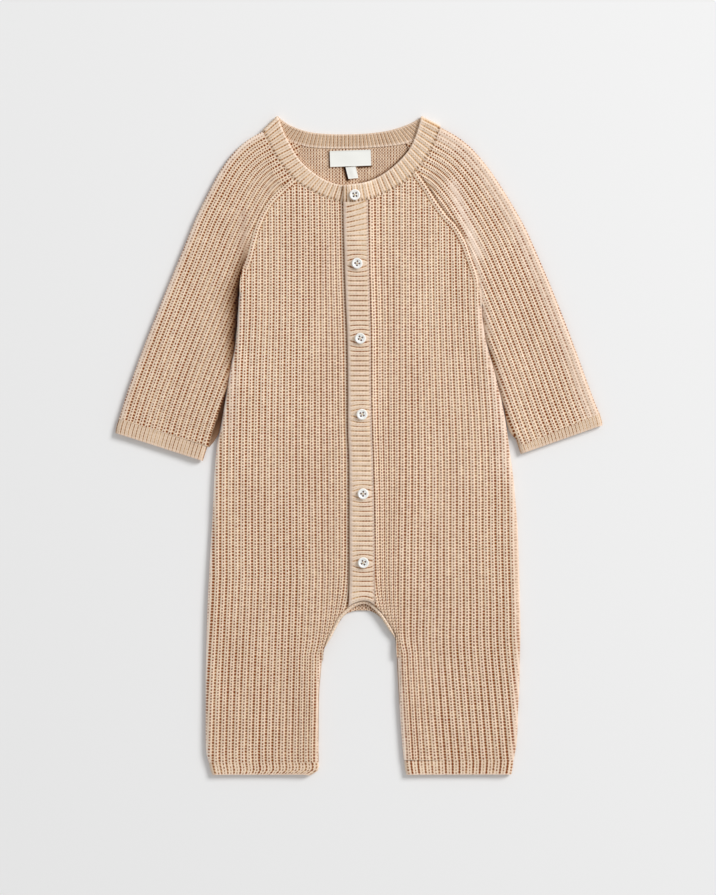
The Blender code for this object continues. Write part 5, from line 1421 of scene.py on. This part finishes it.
class ROMPER_OT_neckband(bpy.types.Operator):
    """The ribbed band round the neck, one strip whose ends overlap at the buttons"""
    bl_idname = "romper.neckband"
    bl_label = "Neckband"

    def execute(self, context):
        look = context.scene.romper_knit
        rows, heights, behind = self.stations()
        share = np.linspace(0.0, 1.0, NECK_COLUMNS)
        plan = rows[:, None, :2] + (rows[:, None, 2:] - rows[:, None, :2]) * share[:, None]
        length = lengths((rows[:, :2] + rows[:, 2:]) / 2)
        steps = np.diff(length, prepend=0.0) * np.where(behind[:, 0], NECK_INSIDE_RIBS, 1.0)
        ribs = np.broadcast_to((np.cumsum(steps) / NECK_RIB)[:, None], plan.shape[:2])
        depth = np.linalg.norm(rows[:, 2:] - rows[:, :2], axis=1)[:, None]
        rows_along = -share * depth / ROW
        to_end = (length[-1] - length)[:, None]
        fade = rising(share, NECK_RIM_EASE) * (1 - rising(share, NECK_SEAM_EASE))
        relief = stitch_relief(ribs, rows_along, look.fine_raise * fade,
                               look.strand_raise * FINE_STRANDS * fade)
        relief = relief + (bell(share, RIM_BEAD) - bell(share, NECK_GROOVE))
        relief = relief - EDGE_THIN * (1 - smooth(to_end / NECK_THIN))
        outside = np.where(behind, relief - SUNK * look.fine_raise, relief)
        holes = np.maximum(np.cos(TAU * length / NECK_STITCH), 0.0)[:, None] * bell(share, NECK_HOLES)
        chain, rim = bell(share, NECK_CHAIN), bell(share, NECK_RIM)
        tone = np.where(behind, INSIDE_TONE + CHAIN_LIGHTER * chain, 1.0 - holes)
        tone = tone + RIM_LIGHTER * rim - bell(to_end, NECK_END_SHADE)
        faint = np.maximum(RIM_FAINT * rim, CHAIN_FAINT * chain * behind)
        cloth = Cloth()
        cloth.add(np.dstack([plan, heights + NECK_CURVE * np.sin(np.pi * share)]), ribs=ribs,
                  rows=rows_along, relief=outside, relief_in=np.where(behind, relief, 0.0), tone=tone,
                  faint=faint)
        wool = knit("neck_knit", dots=0.12, lines=0.38, veins=0.24, light=0.93)
        piece = cloth.build("neckband", wool)
        return {"FINISHED"}

    @staticmethod
    def stations():
        """Rim and seam all the way round, with their heights and which of them lie behind."""
        front, back = softened(NECK_FRONT, NECK_POINTS), softened(NECK_BACK, NECK_POINTS)
        for rows in (front, back):
            width = np.linalg.norm(rows[:, 2:] - rows[:, :2], axis=1)[:, None]
            rows[:, 2:] += (rows[:, :2] - rows[:, 2:]) * SEAM / width
        top_stop, under_stop = (value * MM for value in NECK_OVERLAP)
        right = neck_stretch(front[(front[:, 0] + front[:, 2]) / 2 < under_stop][::-1])
        rim, seam = (resampled(front[front[:, k] > top_stop, k:k + 2], NECK_POINTS // 2) for k in (0, 2))
        left = neck_stretch(np.hstack([rim, seam]))
        back = neck_stretch(back[::-1])
        right_turn, right_heights = shoulder_turn(right, back[0])
        left_turn, left_heights = shoulder_turn(left, back[-1])
        middle_x, middle_y = ((left[:, :2] + left[:, 2:]) / 2).T
        lift = band_lift(middle_x, np.minimum(middle_y, BUTTON_BAND[0].y * MM))
        rows = np.vstack([right, right_turn, back, left_turn[::-1], left[::-1]])
        heights = np.concatenate([np.full(len(right), FRONT_MID), right_heights,
                                  np.full(len(back), BACK_MID), left_heights[::-1],
                                  (FRONT_MID + lift)[::-1]])
        behind = np.zeros((len(rows), 1), bool)
        behind[len(right) + len(right_turn):][:len(back)] = True
        return rows, heights[:, None], behind


# ================================================================ button bands
class ROMPER_OT_bands(bpy.types.Operator):
    """The button band, ribbed across, and the plain band beneath it"""
    bl_idname = "romper.bands"
    bl_label = "Button bands"

    def execute(self, context):
        wool = knit("band_knit", dots=0.16, lines=0.46, light=0.92)
        self.button_band(context.scene.romper_knit, wool)
        self.under_band(wool)
        return {"FINISHED"}

    @staticmethod
    def button_band(look, wool):
        """Ribs across the band, drawn together towards each button and leaning at the neck."""
        table = softened(BUTTON_BAND)
        y, free, linked = resampled(table, int((table[0, 0] - table[-1, 0]) / BAND_STEP)).T
        share = np.linspace(0.0, 1.0, BAND_COLUMNS)[:, None]
        x = free + (linked - SEAM - free) * share
        shift = np.zeros(x.shape)
        for button in BUTTONS[1:]:
            up, side = y - button.y * MM, (x - button.x * MM) / PULL_SIDE
            near = bell(up, PULL_NEAR) * np.clip(1 - side ** 2, 0.0, 1.0)
            shift += near * PULL * MM * np.tanh(up / PULL_STEEP)
        lean = BAND_LEAN * (x - (free + linked) / 2) * rising(y, LEAN_FROM)
        ribs, rows = (y - shift - lean) / BAND_RIB, x / ROW
        ease = rising(share, BAND_FREE_EASE) * (1 - rising(share, BAND_LINKED_EASE))
        relief = stitch_relief(ribs, rows, look.fine_raise * ease, look.strand_raise * FINE_STRANDS)
        relief = relief - EDGE_THIN * (1 - smooth(share / BAND_THIN))
        # painted shadow at the free edge, then painted light just inside it
        tone = BAND_TONE + rising(share, BAND_LIGHTER) - rising(share, BAND_DARKER)
        tone = tone - BAND_HOLE_SHADE * np.maximum(np.cos(TAU * y / ROW), 0.0) * bell(share, BAND_HOLES)
        faint = BAND_FAINT - rising(share, BAND_FREE_FAINT) * rising(1 - share, BAND_LINKED_FAINT)
        arch = moved(softened(FRONT_ARCH), TRIM_RADIUS + PIECE_GAP)
        eased = y
        for end, edge in ((0, graph(neck_seam(True), x) - SEAM), (-1, graph(arch, x))):
            eased = eased + (edge - y[end]) * np.clip(1 - np.abs(y - y[end]) / BAND_EASE, 0, 1)
        relief = relief - EDGE_THIN * thinned(x, eased, arch)
        cloth = Cloth()
        marks = np.arange(0, len(y), BAND_COARSE)
        cloth.add(np.dstack([x, eased, FRONT_MID + band_lift(x, y)]), marks=marks, ribs=ribs, rows=rows,
                  relief=relief, tone=tone, faint=faint)
        piece = cloth.build("button_band", wool)

    @staticmethod
    def under_band(wool):
        """A flat strip between the edges of the band above it."""
        y, free, linked = resampled(softened(BUTTON_BAND), UNDER_ROWS).T
        low, high = free + UNDER_BAND_START, linked - UNDER_BAND_STOP
        x = low + (high - low) * np.linspace(0.0, 1.0, UNDER_COLUMNS)[:, None]
        y = np.broadcast_to(y, x.shape)
        ribs, rows = y / BAND_RIB, x / ROW
        cloth = Cloth()
        cloth.add(np.dstack([x, y, np.full(x.shape, FRONT_MID)]), ribs=ribs, rows=rows,
                  relief=stitch_relief(ribs, rows, UNDER_RAISE, 0.0), tone=UNDER_TONE)
        piece = cloth.build("under_band", wool)


# ================================================================ tubes
def tube(path, radius, sides, upward=(0.0, 0.0, 1.0)):
    """Rings round paths: centre + radius * (cos a * sideways + sin a * up).

    path is (..., stations, 3); the rings' last point meets the first by index.
    """
    way = np.gradient(path, axis=-2)
    way /= np.linalg.norm(way, axis=-1, keepdims=True)
    across = np.cross(way, np.broadcast_to(upward, way.shape))
    across /= np.maximum(np.linalg.norm(across, axis=-1, keepdims=True), 1e-9)
    up = np.cross(across, way)
    turn = np.linspace(0.0, TAU, sides, endpoint=False)
    radius = np.broadcast_to(radius, path.shape[:-1])[..., None, None]
    ring = np.cos(turn)[:, None] * across[..., None, :] + np.sin(turn)[:, None] * up[..., None, :]
    return path[..., None, :] + radius * ring


def tube_faces(rings):
    """Faces of one or more capped tubes, given points (tubes, stations, sides, 3)."""
    tubes, stations, sides = rings.shape[:3]
    index = np.arange(tubes * stations * sides).reshape(tubes, stations, sides)
    after = np.roll(index, -1, axis=2)
    quads = np.stack([index[:, :-1], after[:, :-1], after[:, 1:], index[:, 1:]], axis=-1).reshape(-1, 4)
    spokes = np.arange(1, sides - 1)
    start, end = index[:, 0], index[:, -1]
    caps = [np.stack([np.repeat(ring[:, :1], sides - 2, axis=1), ring[:, spokes + one],
                      ring[:, spokes + two]], axis=-1).reshape(-1, 3)
            for ring, one, two in ((start, 1, 0), (end, 0, 1))]
    return quads, np.vstack(caps)


class ROMPER_OT_trim(bpy.types.Operator):
    """The narrow rolled edge round the front of the arch between the legs"""
    bl_idname = "romper.trim"
    bl_label = "Crotch trim"

    def execute(self, context):
        wool = knit("trim_knit", dots=0.3, lines=0.1)
        path = softened(FRONT_ARCH)
        lowest = np.where(path[:, 0] < 0, TRIM_ENDS[0], TRIM_ENDS[1]) * MM
        path = resampled(path[path[:, 1] > lowest], TRIM_POINTS)
        centre = WALL + 2 * PIECE_GAP + TRIM_RADIUS
        path = np.column_stack([path, np.full(len(path), centre)])
        length = steps_of(path).sum()
        along = np.linspace(0.0, length, len(path))
        taper = TRIM_LEAST + rising(np.minimum(along, length - along), TRIM_TAPER)
        waves = 1 + TRIM_WAVE * np.cos(TAU * along / ROW)
        rings = tube(path[None], TRIM_RADIUS * taper * waves, TRIM_SIDES)
        quads, triangles = tube_faces(rings)
        points = rings.reshape(-1, 3)
        fields = {key: np.zeros(len(points)) for key in ("edge_ribs", "edge_rows", "ridge", "faint")}
        fields.update(ribs=np.tile(np.arange(TRIM_SIDES) / (TRIM_SIDES / 2), len(path)),
                      rows=np.repeat(along / ROW, TRIM_SIDES), tone=np.full(len(points), TRIM_TONE))
        piece = surface("crotch_trim", points, quads, triangles, wool, fields)
        return {"FINISHED"}


# ================================================================ buttons and labels
def drilled(radius_at, angle, spacing, hole, turn):
    """1 inside a hole and 0 outside, soft at its rim, for polar grid points."""
    x, y = radius_at * np.cos(angle), radius_at * np.sin(angle)
    total = np.zeros(np.broadcast(x, y).shape)
    for centre in around(spacing / math.sqrt(2), turn):
        gap = np.hypot(x - centre[0], y - centre[1])
        total = np.maximum(total, smooth((hole - gap) / HOLE_RIM + 0.5))
    return total


def around(reach, turn):
    """Four places round a middle, a quarter turn apart."""
    turns = [turn + quarter * TAU / 4 for quarter in range(4)]
    return [np.array([reach * math.cos(angle), reach * math.sin(angle)]) for angle in turns]


class ROMPER_OT_buttons(bpy.types.Operator):
    """Six four-hole buttons, each with the thread that holds it"""
    bl_idname = "romper.buttons"
    bl_label = "Buttons"

    def execute(self, context):
        sizes = context.scene.romper_trimmings
        net = Net("pearl", Specular_IOR_Level=0.6, Coat_Roughness=0.1)
        swirl = net.noise(*SWIRL_NOISE)
        hole = net.ramp(net.attribute("hole"), *HOLE_RAMP)
        colour = net.mix(rgba(sizes.pearl), rgba(PEARL_SHADE), net.ramp(swirl, *SWIRL_RAMP))
        # the holes painted dark brown, in painted shade
        colour = net.mix(colour, rgba(HOLE_COLOUR), hole)
        net.feed(net.shader.inputs["Coat Weight"], PEARL_COAT - hole * PEARL_COAT)
        pearl = net.finish(colour, swirl, 0.03 * MM, 0.4, roughness=hole * HOLE_ROUGHER + PEARL_ROUGHNESS)
        net = Net("button_thread", Roughness=0.7, Sheen_Weight=0.2)
        twist = net.noise(*TWIST_NOISE)
        thread = net.finish(net.mix(*(rgba(shade) for shade in THREAD_COLOURS), twist), twist)
        for number, place in enumerate(BUTTONS, start=1):
            self.button(number, place, sizes, pearl, thread)
        return {"FINISHED"}

    @classmethod
    def button(cls, number, place, sizes, pearl, thread):
        """A turned profile; its top is pressed down inside each of four holes."""
        R, H = sizes.button_radius, sizes.button_height
        seat = (place.x * MM, place.y * MM, BUTTON_SEAT)
        angle = np.linspace(0.0, TAU, BUTTON_SIDES, endpoint=False)[:, None]
        turn = math.radians(BUTTON_TURN + BUTTON_TURNS * number)
        top = np.linspace(0.0, BUTTON_FACE, BUTTON_RINGS) * R
        shape = H - falling(top / R, DISH)
        bend = np.linspace(0.0, np.pi / 2, RIM_RINGS)[1:]
        under_r, under_z = np.array(BUTTON_UNDER).T
        rim_r = np.concatenate([BUTTON_FACE * R + BUTTON_RIM * R * np.sin(bend), under_r * R])
        rim_z = np.concatenate([H - RIM_DROP * (1 - np.cos(bend)), under_z * H])
        pits = drilled(top, angle, sizes.hole_spacing, sizes.hole_radius, turn)
        rim_z = np.broadcast_to(rim_z, (BUTTON_SIDES, len(rim_z)))
        height = np.hstack([shape - pits * HOLE_DEPTH, rim_z])
        radius = np.broadcast_to(np.concatenate([top, rim_r]), height.shape)
        points = np.dstack([radius * np.cos(angle), radius * np.sin(angle), height]) + seat
        points[:, 0], points[:, -1] = points[0, 0], points[0, -1]
        index = np.arange(height.size).reshape(height.shape)
        index[:, 0], index[:, -1] = index[0, 0], index[0, -1]
        quads, triangles = sorted_faces(quads_of(index, True)[:, ::-1])
        used = np.unique(np.concatenate([quads.ravel(), triangles.ravel()]))
        place_of = np.full(height.size, -1)
        place_of[used] = np.arange(len(used))
        rings = tube(cls.threads(sizes.hole_spacing, turn, H) + seat, THREAD_RADIUS, THREAD_SIDES)
        thread_quads, thread_caps = tube_faces(rings)
        every = np.vstack([points.reshape(-1, 3)[used], rings.reshape(-1, 3)])
        piece = surface(f"button_{number}", every, np.vstack([place_of[quads], thread_quads + len(used)]),
                        np.vstack([place_of[triangles], thread_caps + len(used)]), pearl,
                        sharp=BUTTON_ANGLE)
        pressed = np.hstack([pits, np.zeros(rim_z.shape)]).ravel()[used]
        carry(piece.data, "hole", np.concatenate([pressed, np.zeros(rings[..., 0].size)]))
        piece.data.materials.append(thread)
        is_thread = np.zeros(len(piece.data.polygons), np.int32)
        is_thread[len(quads):len(quads) + len(thread_quads)] = 1
        is_thread[-len(thread_caps):] = 1
        piece.data.polygons.foreach_set("material_index", is_thread)

    @staticmethod
    def threads(spacing, turn, top):
        """Two pairs of threads, each from a hole over to the opposite one."""
        holes = around(spacing / math.sqrt(2) * THREAD_REACH, turn)
        s = np.linspace(0.0, 1.0, THREAD_POINTS)[:, None]
        threads = []
        for a, b, rise in ((holes[0], holes[2], THREAD_RISE[0]), (holes[1], holes[3], THREAD_RISE[1])):
            for shift in (-THREAD_APART, THREAD_APART):
                side = np.array([-(b - a)[1], (b - a)[0]])
                flat = a * (1 - s) + b * s + side / np.linalg.norm(side) * shift * MM
                height = top - THREAD_SUNK + rise * MM * np.sin(np.pi * s) ** 0.5
                threads.append(np.hstack([flat, height]))
        return np.array(threads)


class ROMPER_OT_labels(bpy.types.Operator):
    """The bare woven label and the small tab under it"""
    bl_idname = "romper.labels"
    bl_label = "Labels"

    def execute(self, context):
        sizes = context.scene.romper_trimmings
        net = Net("woven_label", Roughness=0.75, Sheen_Weight=0.15)
        x, y = net.place(0), net.place(1)
        warp, weft = net.wave(x * (1 / WARP)), net.wave(y * (1 / WEFT))
        weave = warp * 0.5 + weft * 0.5
        colour = net.mix(rgba(sizes.label, 0.9), rgba(sizes.label), weave)
        white = net.finish(colour, weave, 0.05 * MM, 0.5)
        label = self.tab("label", LABEL, white)
        size_tab = self.tab("size_tab", SIZE_TAB, white)
        return {"FINISHED"}

    @staticmethod
    def tab(name, tab, white):
        """A thin slab whose height is a slow wave along it, with its long edges folded up."""
        u, v = np.meshgrid(*(np.linspace(-0.5, 0.5, count) for count in LABEL_POINTS), indexing="ij")
        turn, lean = math.radians(tab.turn), math.radians(tab.lean)
        x, y = u * (tab.width * MM), v * (tab.depth * MM)
        rise = (LABEL_WAVE * np.sin(u * LABEL_WAVES + 1.0) * np.cos(v * LABEL_BOW)
                + LABEL_EDGE * (np.abs(v) > LABEL_EDGE_FROM))
        px = tab.x * MM + x * math.cos(turn) - y * math.sin(lean)
        py = tab.y * MM + x * math.sin(turn) + y * math.cos(lean)
        base = WALL + PIECE_GAP + LABEL_HALF
        points = np.vstack([np.dstack([px, py, height]).reshape(-1, 3)
                            for height in (base + LABEL_HALF + rise, base - LABEL_HALF + rise * 0.5)])
        quads, no_triangles = quads_of(np.arange(u.size).reshape(u.shape)), np.zeros((0, 3), int)
        rim = rim_faces(quads, no_triangles, np.arange(u.size) + u.size, u.size)
        faces = np.vstack([quads, quads[:, ::-1] + u.size, rim])
        return surface(name, points, faces, no_triangles, white, sharp=LABEL_ANGLE)


# ================================================================ stage
class ROMPER_OT_stage(bpy.types.Operator):
    """The pale floor, the soft light and the camera straight above"""
    bl_idname = "romper.stage"
    bl_label = "Stage"

    def execute(self, context):
        look = context.scene.romper_stage
        net = Net("floor", Roughness=0.9, Specular_IOR_Level=0.1)
        net.finish(rgba(look.floor))
        mesh = bpy.data.meshes.new("floor")
        corners = [(x * FLOOR_SIZE, y * FLOOR_SIZE, 0) for x, y in ((-1, -1), (1, -1), (1, 1), (-1, 1))]
        mesh.from_pydata(corners, [], [(0, 1, 2, 3)])
        mesh.materials.append(net.material)
        floor = bpy.data.objects.new("floor", mesh)
        context.scene.collection.objects.link(floor)

        world = bpy.data.worlds.new("room")
        world.use_nodes = True
        background = world.node_tree.nodes["Background"]
        background.inputs["Color"].default_value = rgba((1.0, 1.0, 1.0))
        background.inputs["Strength"].default_value = look.fill
        context.scene.world = world
        self.area(context, "main_light", MAIN_LIGHT, MAIN_LIGHT_SIZE, look.key_power)
        context.scene.view_settings.view_transform = "Standard"

        camera = bpy.data.cameras.new("camera")
        camera.sensor_fit = "VERTICAL"
        camera.sensor_height = SENSOR
        camera.sensor_width = SENSOR * PIXEL_WIDTH / PIXEL_HEIGHT
        camera.lens = SENSOR * (look.camera_height - FRONT_MID) / FRAME_HEIGHT
        camera.clip_end = CAMERA_FAR
        stand = bpy.data.objects.new("camera", camera)
        stand.location = (*CAMERA_PLACE, look.camera_height)
        context.scene.collection.objects.link(stand)
        context.scene.camera = stand
        return {"FINISHED"}

    @staticmethod
    def area(context, name, place, size, power):
        light = bpy.data.lights.new(name, "AREA")
        light.shape = "DISK"
        light.size = size
        light.energy = power
        lamp = bpy.data.objects.new(name, light)
        lamp.location = place
        way = -np.array(place)
        lamp.rotation_euler = (math.atan2(math.hypot(way[0], way[1]), -way[2]), 0.0,
                               math.atan2(-way[0], way[1]))
        context.scene.collection.objects.link(lamp)


class ROMPER_PT_panel(bpy.types.Panel):
    bl_idname = "ROMPER_PT_panel"
    bl_label = "Romper"
    bl_space_type = "VIEW_3D"
    bl_region_type = "UI"
    bl_category = "Romper"

    def draw(self, context):
        for operator in OPERATORS:
            self.layout.operator(operator.bl_idname)
        for group in ("romper_knit", "romper_trimmings", "romper_stage"):
            settings = getattr(context.scene, group)
            for name in settings.bl_rna.properties.keys():
                if name not in ("rna_type", "name"):
                    self.layout.prop(settings, name)


GROUPS = {"romper_knit": RomperKnit, "romper_trimmings": RomperTrimmings, "romper_stage": RomperStage}
OPERATORS = [ROMPER_OT_back, ROMPER_OT_fronts, ROMPER_OT_sleeves, ROMPER_OT_ends, ROMPER_OT_neckband,
             ROMPER_OT_bands, ROMPER_OT_trim, ROMPER_OT_buttons, ROMPER_OT_labels, ROMPER_OT_stage]


def register():
    for item in [*GROUPS.values(), *OPERATORS, ROMPER_PT_panel]:
        bpy.utils.register_class(item)
    for name, group in GROUPS.items():
        setattr(bpy.types.Scene, name, bpy.props.PointerProperty(type=group))


def unregister():
    for name in GROUPS:
        delattr(bpy.types.Scene, name)
    for item in [ROMPER_PT_panel, *OPERATORS[::-1], *GROUPS.values()]:
        bpy.utils.unregister_class(item)


def main():
    register()
    for operator in OPERATORS:
        area, name = operator.bl_idname.split(".")
        getattr(getattr(bpy.ops, area), name)()


if __name__ == "__main__":
    main()
